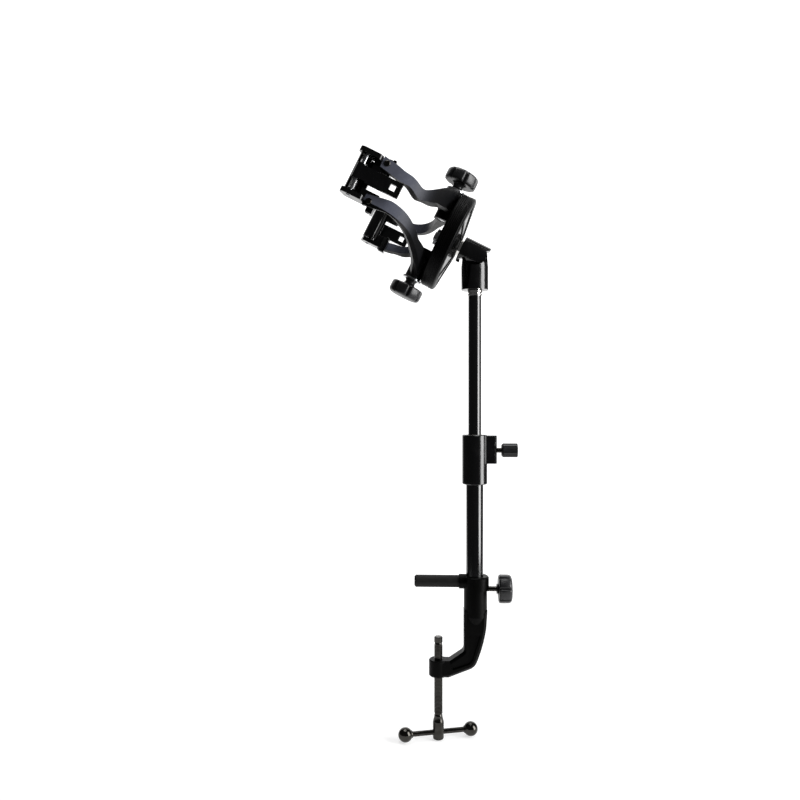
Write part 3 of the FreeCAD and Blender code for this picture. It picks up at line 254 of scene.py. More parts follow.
def black_nickel():
    """Dark plating on turned steel, with lathe lines round it and warm stains."""
    finish = Finish("black_nickel", metallic=1.0)
    lathe_lines = finish.noise(0.4 * MM, 2, (0.2, 0.2, 1.0))
    stain = finish.noise(8 * MM, 4).between(0.4, 0.75)
    finish.put("Base Color", finish.mix(stain * 0.7, (0.05, 0.048, 0.044), (0.024, 0.022, 0.019)))
    finish.put("Roughness", 0.11 + lathe_lines * 0.08 + stain * 0.06)
    finish.bump(lathe_lines, 0.01 * MM)
    return finish.material


def bright_plate():
    """Polished plating with a little tarnish."""
    finish = Finish("bright_plate", metallic=1.0)
    stain = finish.noise(4 * MM, 4).between(0.45, 0.8)
    finish.put("Base Color", finish.mix(stain * 0.5, (0.76, 0.75, 0.73), (0.55, 0.5, 0.42)))
    finish.put("Roughness", 0.07 + stain * 0.14)
    finish.bump(finish.noise(0.5 * MM, 2), 0.006 * MM)
    return finish.material


def zinc_plate():
    """Zinc-plated fasteners, a little cloudy."""
    finish = Finish("zinc_plate", metallic=1.0)
    cloud = finish.noise(2.2 * MM, 4).between(0.35, 0.75)
    finish.put("Base Color", finish.mix(cloud, (0.48, 0.49, 0.5), (0.3, 0.3, 0.31)))
    finish.put("Roughness", 0.22 + cloud * 0.2)
    finish.bump(finish.noise(0.4 * MM, 2), 0.01 * MM)
    return finish.material


def spring_steel():
    """Drawn spring wire, with duller and darker patches."""
    finish = Finish("spring_steel", metallic=1.0)
    cloud = finish.noise(1.0 * MM, 3).between(0.35, 0.75)
    finish.put("Base Color", finish.mix(cloud, (0.5, 0.5, 0.5), (0.26, 0.26, 0.27)))
    finish.put("Roughness", 0.2 + cloud * 0.2)
    finish.bump(finish.noise(0.3 * MM, 2), 0.006 * MM)
    return finish.material


def turned_brass():
    """Turned brass with a darker film."""
    finish = Finish("turned_brass", metallic=1.0)
    stain = finish.noise(3 * MM, 4).between(0.4, 0.8)
    finish.put("Base Color", finish.mix(stain, (0.62, 0.44, 0.18), (0.38, 0.25, 0.1)))
    finish.put("Roughness", 0.2 + stain * 0.2)
    finish.bump(finish.noise(0.4 * MM, 2, (0.2, 0.2, 1.0)), 0.01 * MM)
    return finish.material


def black_moulding():
    """Black moulded plastic: fine eroded grain, soft flow marks and greyer rubbed patches."""
    finish = Finish("black_moulding", Specular_IOR_Level=0.1)
    grain = finish.cells(0.4 * MM)
    flow = finish.noise(14 * MM, 3)
    rub = finish.noise(6 * MM, 5).between(0.5, 0.8)
    finish.put("Base Color", finish.mix(rub * 0.6, (0.0012, 0.0012, 0.0013), (0.005, 0.005, 0.0054)))
    finish.put("Roughness", 0.34 + flow * 0.16 + rub * 0.08)
    finish.bump(grain * 0.5 + flow * 0.5, 0.04 * MM)
    return finish.material


def polished_moulding():
    """Glossy black plastic of the jaws and the rear cover's petals, with hairline rubs."""
    finish = Finish("polished_moulding", Specular_IOR_Level=0.42)
    rub = finish.noise(4 * MM, 5, (1.0, 1.0, 0.3)).between(0.48, 0.8)
    finish.put("Base Color", finish.mix(rub * 0.5, (0.0018, 0.0018, 0.0019), (0.007, 0.007, 0.0074)))
    finish.put("Roughness", 0.14 + rub * 0.2)
    finish.bump(finish.noise(9 * MM, 3), 0.06 * MM)
    return finish.material


def knob_moulding():
    """Charcoal plastic of the knobs, with eroded grain and rubbed patches."""
    finish = Finish("knob_moulding", Specular_IOR_Level=0.45)
    grain = finish.cells(0.5 * MM)
    rub = finish.noise(5 * MM, 5).between(0.45, 0.8)
    finish.put("Base Color", finish.mix(rub, (0.009, 0.009, 0.0098), (0.021, 0.021, 0.023)))
    finish.put("Roughness", 0.33 + rub * 0.12)
    finish.bump(grain, 0.04 * MM)
    return finish.material


def arm_painted_sheen():
    """Blue-grey painted sheen on the arms' broad faces: painted shade keeps them black by the hinge, a
    painted highlight makes them lightest at the claw, and lighter rubbed patches are wear.
    """
    finish = Finish("arm_painted_sheen", Specular_IOR_Level=0.2)
    from_pivot = finish.along(FORWARDS, (REACH * MM, 0, PIVOT_Z * MM))
    # Painted shade: black by the hinge, fading out past it
    clear_of_hinge_shade = from_pivot.between(48 * MM, 74 * MM)
    # Painted highlight: the sheen grows lighter towards the claw
    claw_highlight = from_pivot.between(62 * MM, 88 * MM)
    grain = finish.cells(0.45 * MM)
    flow = finish.noise(20 * MM, 3)
    rub = finish.noise(3.5 * MM, 5).between(0.45, 0.85)
    sheen = finish.mix(claw_highlight, (0.068, 0.073, 0.097), (0.108, 0.114, 0.146))
    # Rubbed wear patches laid over the painted sheen
    rubbed = finish.mix(rub * 0.5, sheen, (0.13, 0.136, 0.165))
    finish.put("Base Color", finish.mix(clear_of_hinge_shade, (0.0025, 0.0025, 0.003), rubbed))
    finish.put("Roughness", 0.38 + flow * 0.16)
    finish.bump(grain * 0.6 + flow * 0.4, 0.05 * MM)
    return finish.material


def grip_rubber():
    """Matt rubber with a pebbled surface and a little grey bloom."""
    finish = Finish("grip_rubber", Specular_IOR_Level=0.25)
    pebble = finish.cells(0.7 * MM)
    bloom = finish.noise(6 * MM, 5).between(0.45, 0.8)
    finish.put("Base Color", finish.mix(bloom, (0.0032, 0.0032, 0.003), (0.009, 0.0088, 0.0082)))
    finish.put("Roughness", 0.58 + bloom * 0.2)
    finish.bump(pebble, 0.07 * MM)
    return finish.material


def white_bush():
    """Off-white bearing plastic with grease marks."""
    finish = Finish("white_bush")
    stain = finish.noise(3 * MM, 4).between(0.4, 0.8)
    finish.put("Base Color", finish.mix(stain * 0.5, (0.68, 0.66, 0.6), (0.5, 0.48, 0.43)))
    finish.put("Roughness", 0.4 + stain * 0.15)
    finish.bump(finish.noise(0.6 * MM, 2), 0.02 * MM)
    return finish.material


CAST = cast_lacquer()
ENAMEL = enamel()
TUBE = tube_lacquer()
NICKEL = black_nickel()
BRIGHT = bright_plate()
ZINC = zinc_plate()
SPRING = spring_steel()
BRASS = turned_brass()
MOULDED = black_moulding()
POLISHED = polished_moulding()
KNOB = knob_moulding()
PAINTED_SHEEN = arm_painted_sheen()
RUBBER = grip_rubber()
BUSH = white_bush()
NODE_FINISHES = {
    CAST: ("clamp_frame",),
    ENAMEL: ("height_sleeve", "elbow_lower", "elbow_upper"),
    TUBE: ("lower_tube", "upper_tube"),
    NICKEL: (
        "clamp_screw",
        "screw_tip_cap",
        "tommy_bar",
        "tommy_ball_left",
        "tommy_ball_right",
        "post_lock_stud",
        "height_lock_stud",
    ),
    BRIGHT: ("neck_stud", "hub_stud"),
    ZINC: (
        "jaw_rod",
        "pivot_bolt",
        "hub_washer",
        "hub_nut",
        "upper_claw_stud",
        "lower_claw_stud",
        "upper_claw_washer",
        "lower_claw_washer",
        "near_jaw_pin",
        "far_jaw_pin",
    ),
    SPRING: ("near_jaw_spring", "far_jaw_spring"),
    BRASS: ("post_lock_shoe", "height_lock_shoe"),
    KNOB: ("post_lock_knob", "height_lock_knob", "upper_claw_knob", "lower_claw_knob"),
    MOULDED: (
        "hub_cover",
        "hub_body",
        "near_upper_arm",
        "near_lower_arm",
        "far_upper_arm",
        "far_lower_arm",
    ),
    POLISHED: ("near_yoke", "far_yoke", "near_jaw_lever", "far_jaw_lever"),
    RUBBER: ("jaw_sleeve", "near_rest_pads", "far_rest_pads", "near_jaw_pad", "far_jaw_pad"),
    BUSH: ("sleeve_bush", "tube_foot"),
}
for material, nodes in NODE_FINISHES.items():
    for node in nodes:
        for material_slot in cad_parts[node].material_slots:
            material_slot.material = material

# Ways of making pieces. Joining distances are in metres, angles in degrees and steps go round a circle
JOIN = 1e-7
SOLID_JOIN = 1e-6
FLAT_ANGLE = 0.5
SHARP_ANGLE = 35
FINE_STEPS = 128
ROUND_STEPS = 64
MIDDLE_STEPS = 48
COLLAR_STEPS = 40
SMALL_STEPS = 32
THREAD_STEPS = 24


def smooth_step(value, low, high):
    share = min(1.0, max(0.0, (value - low) / (high - low)))
    return share * share * (3 - 2 * share)


def lathe(profile, steps, at=UNMOVED):
    """Turns a profile of radius and height, in millimetres, about the Z axis."""
    bm = bmesh.new()
    points = [bm.verts.new((radius * MM, 0, height * MM)) for radius, height in profile]
    edges = [bm.edges.new(pair) for pair in zip(points, points[1:])]
    bmesh.ops.spin(
        bm,
        geom=points + edges,
        axis=(0, 0, 1),
        cent=(0, 0, 0),
        angle=TAU,
        steps=steps,
        use_merge=True,
    )
    bmesh.ops.remove_doubles(bm, verts=bm.verts, dist=JOIN)
    bmesh.ops.transform(bm, matrix=at, verts=bm.verts)
    return bm


def joined(*parts):
    """Several meshes in one."""
    whole = bmesh.new()
    for part in parts:
        mesh = bpy.data.meshes.new("part")
        part.to_mesh(mesh)
        part.free()
        whole.from_mesh(mesh)
        bpy.data.meshes.remove(mesh)
    return whole


# A thread's ridge: half its foot and half its flat crest as shares of the pitch, and how deep it is sunk
# in the core, in millimetres
RIDGE_FOOT = 0.42
RIDGE_CREST = 0.2
RIDGE_SINK = 0.15


def thread(root, crest, low, high, pitch):
    """A helical ridge round the Z axis from low to high, which runs out to nothing at both ends."""
    foot = (root - RIDGE_SINK) * MM
    middle = low + pitch * RIDGE_FOOT
    bm = bmesh.new()
    ridge = [
        bm.verts.new((foot, 0, low * MM)),
        bm.verts.new((crest * MM, 0, (middle - pitch * RIDGE_CREST) * MM)),
        bm.verts.new((crest * MM, 0, (middle + pitch * RIDGE_CREST) * MM)),
        bm.verts.new((foot, 0, (middle + pitch * RIDGE_FOOT) * MM)),
    ]
    face = bm.faces.new(ridge)
    turns = (high - low - pitch) / pitch
    count = int(THREAD_STEPS * turns)
    bmesh.ops.spin(
        bm,
        geom=[face, *face.edges, *face.verts],
        axis=(0, 0, 1),
        cent=(0, 0, 0),
        dvec=(0, 0, pitch * MM / THREAD_STEPS),
        angle=TAU * turns,
        steps=count,
    )
    for number, vert in enumerate(bm.verts):
        step = number // len(ridge)
        share = min(1.0, step / THREAD_STEPS, (count - step) / THREAD_STEPS)
        radius = math.hypot(vert.co.x, vert.co.y)
        kept = (foot + (radius - foot) * share) / radius
        vert.co.x *= kept
        vert.co.y *= kept
    return bm


def to_object(name, bm, place):
    """Turns the faces outwards, puts the mesh in its place and makes an object of it."""
    bmesh.ops.recalc_face_normals(bm, faces=bm.faces)
    bmesh.ops.transform(bm, matrix=place, verts=bm.verts)
    mesh = bpy.data.meshes.new(name)
    bm.to_mesh(mesh)
    bm.free()
    made = bpy.data.objects.new(name, mesh)
    bpy.context.scene.collection.objects.link(made)
    return made


def finished(name, bm, place, materials, body, nodes=(), sharp=SHARP_ANGLE):
    """A piece with its finishes and its body, and the nodes that it stands for."""
    piece = to_object(name, bm, place)
    for material in materials:
        piece.data.materials.append(material)
    piece.data.shade_smooth()
    piece.data.set_sharp_from_angle(angle=math.radians(sharp))
    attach(piece, body)
    if nodes:
        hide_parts(*nodes)
    return piece


def cut(piece, cutter):
    """Takes the cutter's shape out of a piece."""
    modifier = piece.modifiers.new("cut", "BOOLEAN")
    modifier.object = cutter
    modifier.operation = "DIFFERENCE"
    modifier.solver = "EXACT"
    modifier.use_self = True
    graph = bpy.context.evaluated_depsgraph_get()
    cut_mesh = bpy.data.meshes.new_from_object(piece.evaluated_get(graph))
    piece.modifiers.clear()
    piece.data = cut_mesh
    piece.data.set_sharp_from_angle(angle=math.radians(SHARP_ANGLE))
    bpy.data.objects.remove(cutter)


def merged_copy(node):
    """The mesh of a solid, merged and with its flat faces whole again."""
    bm = bmesh.new()
    bm.from_mesh(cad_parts[node].data)
    bmesh.ops.remove_doubles(bm, verts=bm.verts, dist=SOLID_JOIN)
    bmesh.ops.dissolve_limit(bm, angle_limit=math.radians(FLAT_ANGLE), verts=bm.verts, edges=bm.edges)
    return bm


# Clamp screw: nose for the cap, threaded shank and cross-drilled head
SCREW_TIP_Z = -47.5
SCREW_NECK_Z = -51.3
SCREW_HEAD_Z = -119.9
SCREW_FOOT_Z = -141.1
SCREW_NOSE_R = 2.4
SCREW_ROOT_R = 3.4
SCREW_CREST_R = 3.9
SCREW_HEAD_R = 5.15
SCREW_PITCH = 1.25
BAR_HOLE_R = 2.43
BAR_HOLE_REACH = 20


def clamp_screw():
    core = lathe(
        (
            (0, SCREW_TIP_Z),
            (SCREW_NOSE_R, SCREW_TIP_Z),
            (SCREW_NOSE_R, SCREW_NECK_Z),
            (SCREW_ROOT_R - 0.3, SCREW_NECK_Z - 0.1),
            (SCREW_ROOT_R, SCREW_NECK_Z - 0.6),
            (SCREW_ROOT_R, SCREW_HEAD_Z + 2),
            (SCREW_CREST_R - 0.05, SCREW_HEAD_Z + 1.2),
            (SCREW_CREST_R, SCREW_HEAD_Z),
            (SCREW_HEAD_R - 0.45, SCREW_HEAD_Z - 3.6),
            (SCREW_HEAD_R - 0.2, SCREW_HEAD_Z - 4.3),
            (SCREW_HEAD_R, SCREW_HEAD_Z - 5),
            (SCREW_HEAD_R, SCREW_FOOT_Z + 1.5),
            (SCREW_HEAD_R - 0.2, SCREW_FOOT_Z + 0.7),
            (SCREW_HEAD_R - 0.75, SCREW_FOOT_Z + 0.15),
            (SCREW_HEAD_R - 1.35, SCREW_FOOT_Z),
            (0, SCREW_FOOT_Z),
        ),
        ROUND_STEPS,
    )
    ridge = thread(SCREW_ROOT_R, SCREW_CREST_R, SCREW_HEAD_Z + 1.4, SCREW_NECK_Z - 0.5, SCREW_PITCH)
    bm = joined(core, ridge)
    nodes = ["clamp_screw"]
    piece = finished("clamp_screw_thread", bm, SCREW_AXIS, [NICKEL], "clamp_screw", nodes)
    hole = lathe(
        (
            (0, -BAR_HOLE_REACH),
            (BAR_HOLE_R, -BAR_HOLE_REACH),
            (BAR_HOLE_R, BAR_HOLE_REACH),
            (0, BAR_HOLE_REACH),
        ),
        SMALL_STEPS,
    )
    cut(piece, to_object("bar_hole", hole, shift(0, 0, BAR_Z) @ SCREW_AXIS @ turned(QUARTER, "Y")))


clamp_screw()

# Tommy bar's ball ends, each with a short collar on the bar
BALL_R = 6.6
BALL_PLACE = 31.35
COLLAR_BORE_R = 2.36


def ball_end(name, node, sign):
    ball = bmesh.new()
    rows = MIDDLE_STEPS // 2
    bmesh.ops.create_uvsphere(ball, u_segments=MIDDLE_STEPS, v_segments=rows, radius=BALL_R * MM)
    collar = lathe(
        (
            (COLLAR_BORE_R, -BALL_R - 0.1),
            (3.1, -BALL_R),
            (3.5, -BALL_R + 0.6),
            (3.7, -BALL_R + 1.6),
            (COLLAR_BORE_R, -BALL_R + 1.6),
            (COLLAR_BORE_R, -BALL_R - 0.1),
        ),
        COLLAR_STEPS,
    )
    side = turned(QUARTER * sign, "Y")
    place = shift(0, 0, BAR_Z) @ SCREW_AXIS @ shift(sign * BALL_PLACE, 0, 0) @ side
    finished(name, joined(ball, collar), place, [NICKEL], "tommy_bar", [node])


ball_end("left_ball", "tommy_ball_left", -1)
ball_end("right_ball", "tommy_ball_right", 1)

# Lock screws: chamfered tip, shank and thread
LOCK_PITCH = 0.8
LOCK_RIDGE = 0.32
LOCK_CHAMFER = 0.3
POST_SHANK = {"radius": 2.5, "low": 9.75, "high": 28.2}
HEIGHT_SHANK = {"radius": 2.45, "low": 7.8, "high": 32.6}


def lock_thread(name, node, place, body, radius, low, high):
    root = radius - LOCK_RIDGE
    core = lathe(
        (
            (0, low),
            (radius - 2 * LOCK_CHAMFER, low),
            (root, low + LOCK_CHAMFER),
            (root, high),
            (0, high),
        ),
        SMALL_STEPS,
    )
    bm = joined(core, thread(root, radius, low + 0.2, high, LOCK_PITCH))
    finished(name, bm, place, [NICKEL], body, [node])


lock_thread("post_lock_thread", "post_lock_stud", POST_STUD, "post_lock", **POST_SHANK)
lock_thread("height_lock_thread", "height_lock_stud", HEIGHT_STUD, "height_lock", **HEIGHT_SHANK)

# Lobed knobs: a domed head with finger grooves between rounded lobes, on a waisted stem. GROOVE_HALF is a
# share of half a lobe, and GROOVE_DEPTH and LOBE_FLAT are shares of the radius. Heights are from the middle
# of the claws' hinge or from the post's axis
LOBES = 7
LOBE_STEPS = 18
GROOVE_HALF = 0.3
GROOVE_DEPTH = 0.13
LOBE_FLAT = 0.02
KNOB_BORE_R = 2.6
CLAW_KNOB = {"base": 46.2, "floor": 52.2, "top": 64.0, "stem": 5.6, "radius": 15.4}
POST_KNOB = {"base": 20.2, "floor": 21.8, "top": 34.6, "stem": 5.0, "radius": 13.2}


def lobed_knob(name, node, place, body, base, floor, top, stem, radius):
    head = lathe(
        (
            (0, floor + 1.0),
            (stem + 1.4, floor + 0.25),
            (radius - 3.2, floor),
            (radius - 1.3, floor + 0.2),
            (radius - 0.4, floor + 0.8),
            (radius - 0.05, floor + 1.8),
            (radius, (floor + top) / 2),
            (radius - 0.15, top - 3.2),
            (radius - 0.6, top - 2.0),
            (radius - 1.5, top - 1.1),
            (radius - 3.2, top - 0.5),
            (radius * 0.45, top - 0.2),
            (0, top),
        ),
        LOBES * LOBE_STEPS,
    )
    for vert in head.verts:
        reach = math.hypot(vert.co.x, vert.co.y) / MM
        if reach < stem:
            continue
        turn = (math.atan2(vert.co.y, vert.co.x) * LOBES / TAU) % 1.0
        from_groove = 1 - abs(turn - 0.5) * 2
        if from_groove < GROOVE_HALF:
            rim = min(1.0, (reach - stem) / (radius - stem))
            kept = 1 - GROOVE_DEPTH * smooth_step(GROOVE_HALF - from_groove, 0, GROOVE_HALF) * rim * rim
        else:
            kept = 1 - LOBE_FLAT * (1 - math.cos(from_groove * math.pi)) / 2
        vert.co.x *= kept
        vert.co.y *= kept
    rise = floor - base
    neck = lathe(
        (
            (KNOB_BORE_R, base),
            (stem, base),
            (stem, base + rise * 0.12),
            (stem - 0.7, base + rise * 0.25),
            (stem - 0.8, base + rise * 0.55),
            (stem + 0.2, base + rise * 0.85),
            (stem + 2.0, floor + 0.3),
            (stem + 2.0, floor + 2),
            (KNOB_BORE_R, floor + 2),
            (KNOB_BORE_R, base),
        ),
        ROUND_STEPS,
    )
    finished(name, joined(head, neck), place, [KNOB], body, [node], sharp=50)


lobed_knob("upper_knob_head", "upper_claw_knob", UPPER_HINGE, "upper_lock", **CLAW_KNOB)
lobed_knob("lower_knob_head", "lower_claw_knob", LOWER_HINGE, "lower_lock", **CLAW_KNOB)
lobed_knob("post_knob_head", "post_lock_knob", POST_STUD, "post_lock", **POST_KNOB)

# Bright collar on the neck: two polished rings with a groove between them, a plug below and a spigot above
NECK_LOW = 269.6
NECK_HIGH = 275.1
LOWER_RING_R = 6.75
UPPER_RING_R = 6.9
RING_GROOVE_R = 6.1
PLUG_R = 4.8
PLUG_LENGTH = 14
SPIGOT_R = 5.0
SPIGOT_LENGTH = 13


def neck_collar():
    bm = lathe(
        (
            (0, NECK_LOW - PLUG_LENGTH),
            (PLUG_R, NECK_LOW - PLUG_LENGTH),
            (PLUG_R, NECK_LOW),
            (5.9, NECK_LOW),
            (6.6, NECK_LOW + 0.3),
            (LOWER_RING_R, NECK_LOW + 0.8),
            (LOWER_RING_R, NECK_LOW + 1.6),
            (RING_GROOVE_R, NECK_LOW + 1.95),
            (RING_GROOVE_R, NECK_LOW + 2.6),
            (UPPER_RING_R - 0.15, NECK_LOW + 2.95),
            (UPPER_RING_R, NECK_LOW + 3.4),
            (UPPER_RING_R, NECK_HIGH - 0.5),
            (6.5, NECK_HIGH),
            (SPIGOT_R, NECK_HIGH),
            (SPIGOT_R, NECK_HIGH + SPIGOT_LENGTH),
            (0, NECK_HIGH + SPIGOT_LENGTH),
        ),
        ROUND_STEPS,
    )
    finished("neck_collar_rings", bm, POST, [BRIGHT], "upper_post", ["neck_stud"])


neck_collar()

# Rear cover of the hub: eight dished petals round the middle and a grooved rim. Heights are from the pivot
# out through the hub
PETALS = 8
PETAL_IN = 11.64
PETAL_OUT = 39.45
PETAL_LEAST_AREA = 300
PETAL_NORMALS = (-0.999, -0.9)
PETAL_BORDER = 1.7
DISH_SLOPE = 0.5
DISH_DEPTH = 0.7
CROWN_BORE_R = 9.1
CROWN_R = 42.7
CROWN_BACK = 16.8
CROWN_FRONT = 21.2
NOSE_R = 9.4
NOSE_BORE_R = 9.2
NOSE_BACK = 18.2
COVER_BACK = 20.6
COVER_FRONT = 26
COVER_FLOOR = 23.2
SHAFT_BORE_R = 5.03
RIM_R = 45.3
RIM_GROOVES = 3
RIM_GROOVE_START = 22.6
RIM_GROOVE_PITCH = 1.1
RIM_GROOVE_DEPTH = 0.55


def all_parts(bm):
    return [*bm.verts, *bm.edges, *bm.faces]


def petal_crown():
    """The raised middle, cut to eight slopes, each with a dished face in a border."""
    bm = lathe(
        (
            (CROWN_BORE_R, CROWN_BACK),
            (CROWN_R, CROWN_BACK),
            (CROWN_R, CROWN_FRONT),
            (CROWN_BORE_R, CROWN_FRONT),
            (CROWN_BORE_R, CROWN_BACK),
        ),
        FINE_STEPS,
    )
    slope = Vector((CROWN_BACK - COVER_BACK, 0, PETAL_OUT - PETAL_IN)).normalized()
    for petal in range(PETALS):
        turn = Matrix.Rotation(TAU * petal / PETALS, 3, "Z")
        halves = bmesh.ops.bisect_plane(
            bm,
            geom=all_parts(bm),
            dist=JOIN,
            plane_co=turn @ Vector((PETAL_IN, 0, CROWN_BACK)) * MM,
            plane_no=turn @ slope * -1,
            clear_outer=True,
        )
        open_rim = [item for item in halves["geom_cut"] if isinstance(item, bmesh.types.BMEdge)]
        bmesh.ops.edgenet_fill(bm, edges=open_rim)
    bmesh.ops.recalc_face_normals(bm, faces=bm.faces)
    least, most = PETAL_NORMALS
    flats = [
        face
        for face in bm.faces
        if face.calc_area() > PETAL_LEAST_AREA * MM * MM and least < face.normal.z < most
    ]
    bmesh.ops.inset_individual(bm, faces=flats, thickness=PETAL_BORDER * MM, depth=0)
    bmesh.ops.inset_individual(bm, faces=flats, thickness=DISH_SLOPE * MM, depth=-DISH_DEPTH * MM)
    for face in flats:
        face.material_index = 1
    return bm


def hub_cover():
    grooves = []
    for number in range(RIM_GROOVES):
        bottom = RIM_GROOVE_START + number * RIM_GROOVE_PITCH
        grooves += [
            (RIM_R, bottom),
            (RIM_R - RIM_GROOVE_DEPTH, bottom + 0.2),
            (RIM_R - RIM_GROOVE_DEPTH, bottom + 0.5),
            (RIM_R, bottom + 0.7),
        ]
    shell = lathe(
        (
            (SHAFT_BORE_R, NOSE_BACK),
            (NOSE_R, NOSE_BACK),
            (NOSE_R, COVER_BACK),
            (RIM_R - 2.1, COVER_BACK),
            (RIM_R - 1.7, COVER_BACK + 0.1),
            (RIM_R - 0.3, COVER_BACK + 1.0),
            (RIM_R, COVER_BACK + 1.5),
            *grooves,
            (RIM_R, COVER_FRONT),
            (CROWN_R, COVER_FRONT),
            (CROWN_R, COVER_FLOOR),
            (NOSE_BORE_R, COVER_FLOOR),
            (NOSE_BORE_R, COVER_FRONT),
            (SHAFT_BORE_R, COVER_FRONT),
            (SHAFT_BORE_R, NOSE_BACK),
        ),
        FINE_STEPS,
    )
    bm = joined(petal_crown(), shell)
    finishes = [MOULDED, POLISHED]
    finished("hub_petal_cover", bm, HUB_AXIS, finishes, "hub", ["hub_cover"], sharp=25)


hub_cover()

# Ribs round the front shell's rim
RIBS = 4
RIB_FOOT_R = 44.45
RIB_R = 45.2
RIB_START = 26.9
RIB_PITCH = 1.6
RIB_SLEEVE_R = 43.6
RIB_SLEEVE_LOW = 26.3
RIB_SLEEVE_HIGH = 33.2


def hub_ribs():
    ribs = []
    for number in range(RIBS):
        bottom = RIB_START + number * RIB_PITCH
        ribs += [
            (RIB_FOOT_R, bottom),
            (RIB_R - 0.05, bottom + 0.25),
            (RIB_R, bottom + 0.5),
            (RIB_R - 0.05, bottom + 0.75),
            (RIB_FOOT_R, bottom + 1.0),
        ]
    bm = lathe(
        (
            (RIB_SLEEVE_R, RIB_SLEEVE_LOW),
            (RIB_FOOT_R + 0.15, RIB_SLEEVE_LOW),
            *ribs,
            (RIB_FOOT_R, RIB_SLEEVE_HIGH),
            (RIB_SLEEVE_R, RIB_SLEEVE_HIGH),
            (RIB_SLEEVE_R, RIB_SLEEVE_LOW),
        ),
        FINE_STEPS,
    )
    finished("hub_rim_ribs", bm, HUB_AXIS, [MOULDED], "hub", sharp=25)


hub_ribs()

# Torsion springs of the hooks
COIL_R = 2.95
WIRE_R = 0.36
COIL_PITCH = 1.0
COIL_TURNS = 8
COIL_STEPS = 28
WIRE_STEPS = 10
COIL_FOOT = 14.4
COIL_START = math.radians(20)
LEG_LENGTH = 2.9
LEG_RISE = 0.2


def jaw_coil(side, holder):
    """Coil round the hook's pin with a straight leg at each end."""
    bm = bmesh.new()
    ring = bmesh.ops.create_circle(bm, cap_ends=False, radius=WIRE_R * MM, segments=WIRE_STEPS)["verts"]
    bmesh.ops.rotate(bm, verts=ring, matrix=Matrix.Rotation(QUARTER, 3, "X"))
    bmesh.ops.translate(bm, verts=ring, vec=(COIL_R * MM, 0, 0))
    wound = bmesh.ops.spin(
        bm,
        geom=ring + list(bm.edges),
        axis=(0, 0, 1),
        cent=(0, 0, 0),
        dvec=(0, 0, COIL_PITCH * MM / COIL_STEPS),
        angle=TAU * COIL_TURNS,
        steps=COIL_STEPS * COIL_TURNS,
    )
    end = [item for item in wound["geom_last"] if isinstance(item, bmesh.types.BMVert)]
    for verts, way in ((ring, -1), (end, 1)):
        rim = [edge for edge in bm.edges if edge.verts[0] in verts and edge.verts[1] in verts]
        leg = bmesh.ops.extrude_edge_only(bm, edges=rim)["geom"]
        tips = [item for item in leg if isinstance(item, bmesh.types.BMVert)]
        bmesh.ops.translate(bm, verts=tips, vec=(0, way * LEG_LENGTH * MM, way * LEG_RISE * MM))
        bmesh.ops.contextual_create(bm, geom=tips)
    place = holder @ shift(PIN_N, PIN_W, -COIL_FOOT) @ turned(COIL_START, "Z")
    nodes = [side + "_jaw_spring"]
    finished(side + "_jaw_coil", bm, place, [SPRING], side + "_claw", nodes, sharp=60)


jaw_coil("near", HOLDER)
jaw_coil("far", FAR_HOLDER)

# Hinge pins of the hooks, with domed riveted ends
PIN_R = 1.73
PIN_SHOULDER = 20.2
PIN_END = 20.7


def pin_rivet(side, holder):
    half = [
        (PIN_R, PIN_SHOULDER - 0.6),
        (PIN_R, PIN_SHOULDER),
        (PIN_R - 0.13, PIN_SHOULDER + 0.25),
        (PIN_R - 0.53, PIN_SHOULDER + 0.42),
        (0, PIN_END),
    ]
    other_half = [(radius, -height) for radius, height in reversed(half)]
    bm = lathe(other_half + half, SMALL_STEPS)
    place = holder @ shift(PIN_N, PIN_W, 0)
    finished(side + "_pin_rivet", bm, place, [ZINC], side + "_claw", [side + "_jaw_pin"])


pin_rivet("near", HOLDER)
pin_rivet("far", FAR_HOLDER)

# Arms and jaws: softened edges, and the painted sheen on the arms' broad faces
ARM_EDGE = 0.5
YOKE_EDGE = 0.45
LEVER_EDGE = 0.4
SHARP_EDGE = math.radians(30)
# How far a face must turn towards Y, or along FORWARDS, to take the painted sheen
BROAD_SIDE = 0.55
BROAD_FACE = 0.8

# The arms' outline, in millimetres along an arm from its hinge, where one of N counts as ALONG_N. First the
# inner edge: its distance from the middle, its fall for each millimetre, and where that starts and how
# far it runs. Then the stretches over which the arm narrows twice, widens, nears the middle and leaves it
INNER_EDGE_U = 22.4
INNER_EDGE_FALL = 0.151
INNER_EDGE_START = 8
INNER_EDGE_RUN = 92
ALONG_N = 0.8
ROOT_WAIST = (5, 42)
BEND_WAIST = (60, 100)
WAIST_END = (107, 138)
SWEEP_START = (8, 72)
SWEEP_END = (92, 114)

# Waist by the root and past the bend as shares of the arm's width, and the sweep in millimetres
FORKED_SHAPE = ((0.2, 0.44), 7.0)
TONGUED_SHAPE = ((0.26, 0.26), 0.0)

# The line beyond which the tongued arms' broad faces stay black as painted shade: a point, its way outwards
# and its start
BAND_POINT = (0, 40, -32.5)
BAND_OUTWARDS = (0, 14, -50)
BAND_START_W = 10


def softened(bm, width):
    """Rounds the sharp edges of a closed mesh."""
    sharp = [edge for edge in bm.edges if len(edge.link_faces) == 2 and edge.calc_face_angle(0) > SHARP_EDGE]
    bmesh.ops.bevel(
        bm,
        geom=sharp,
        offset=width * MM,
        offset_type="OFFSET",
        segments=2,
        profile=0.5,
        affect="EDGES",
        clamp_overlap=True,
        material=-1,
    )


def weighted(piece):
    """Lets the large faces rule the shading of the narrow rounded edges."""
    modifier = piece.modifiers.new("weighted_normals", "WEIGHTED_NORMAL")
    modifier.keep_sharp = True


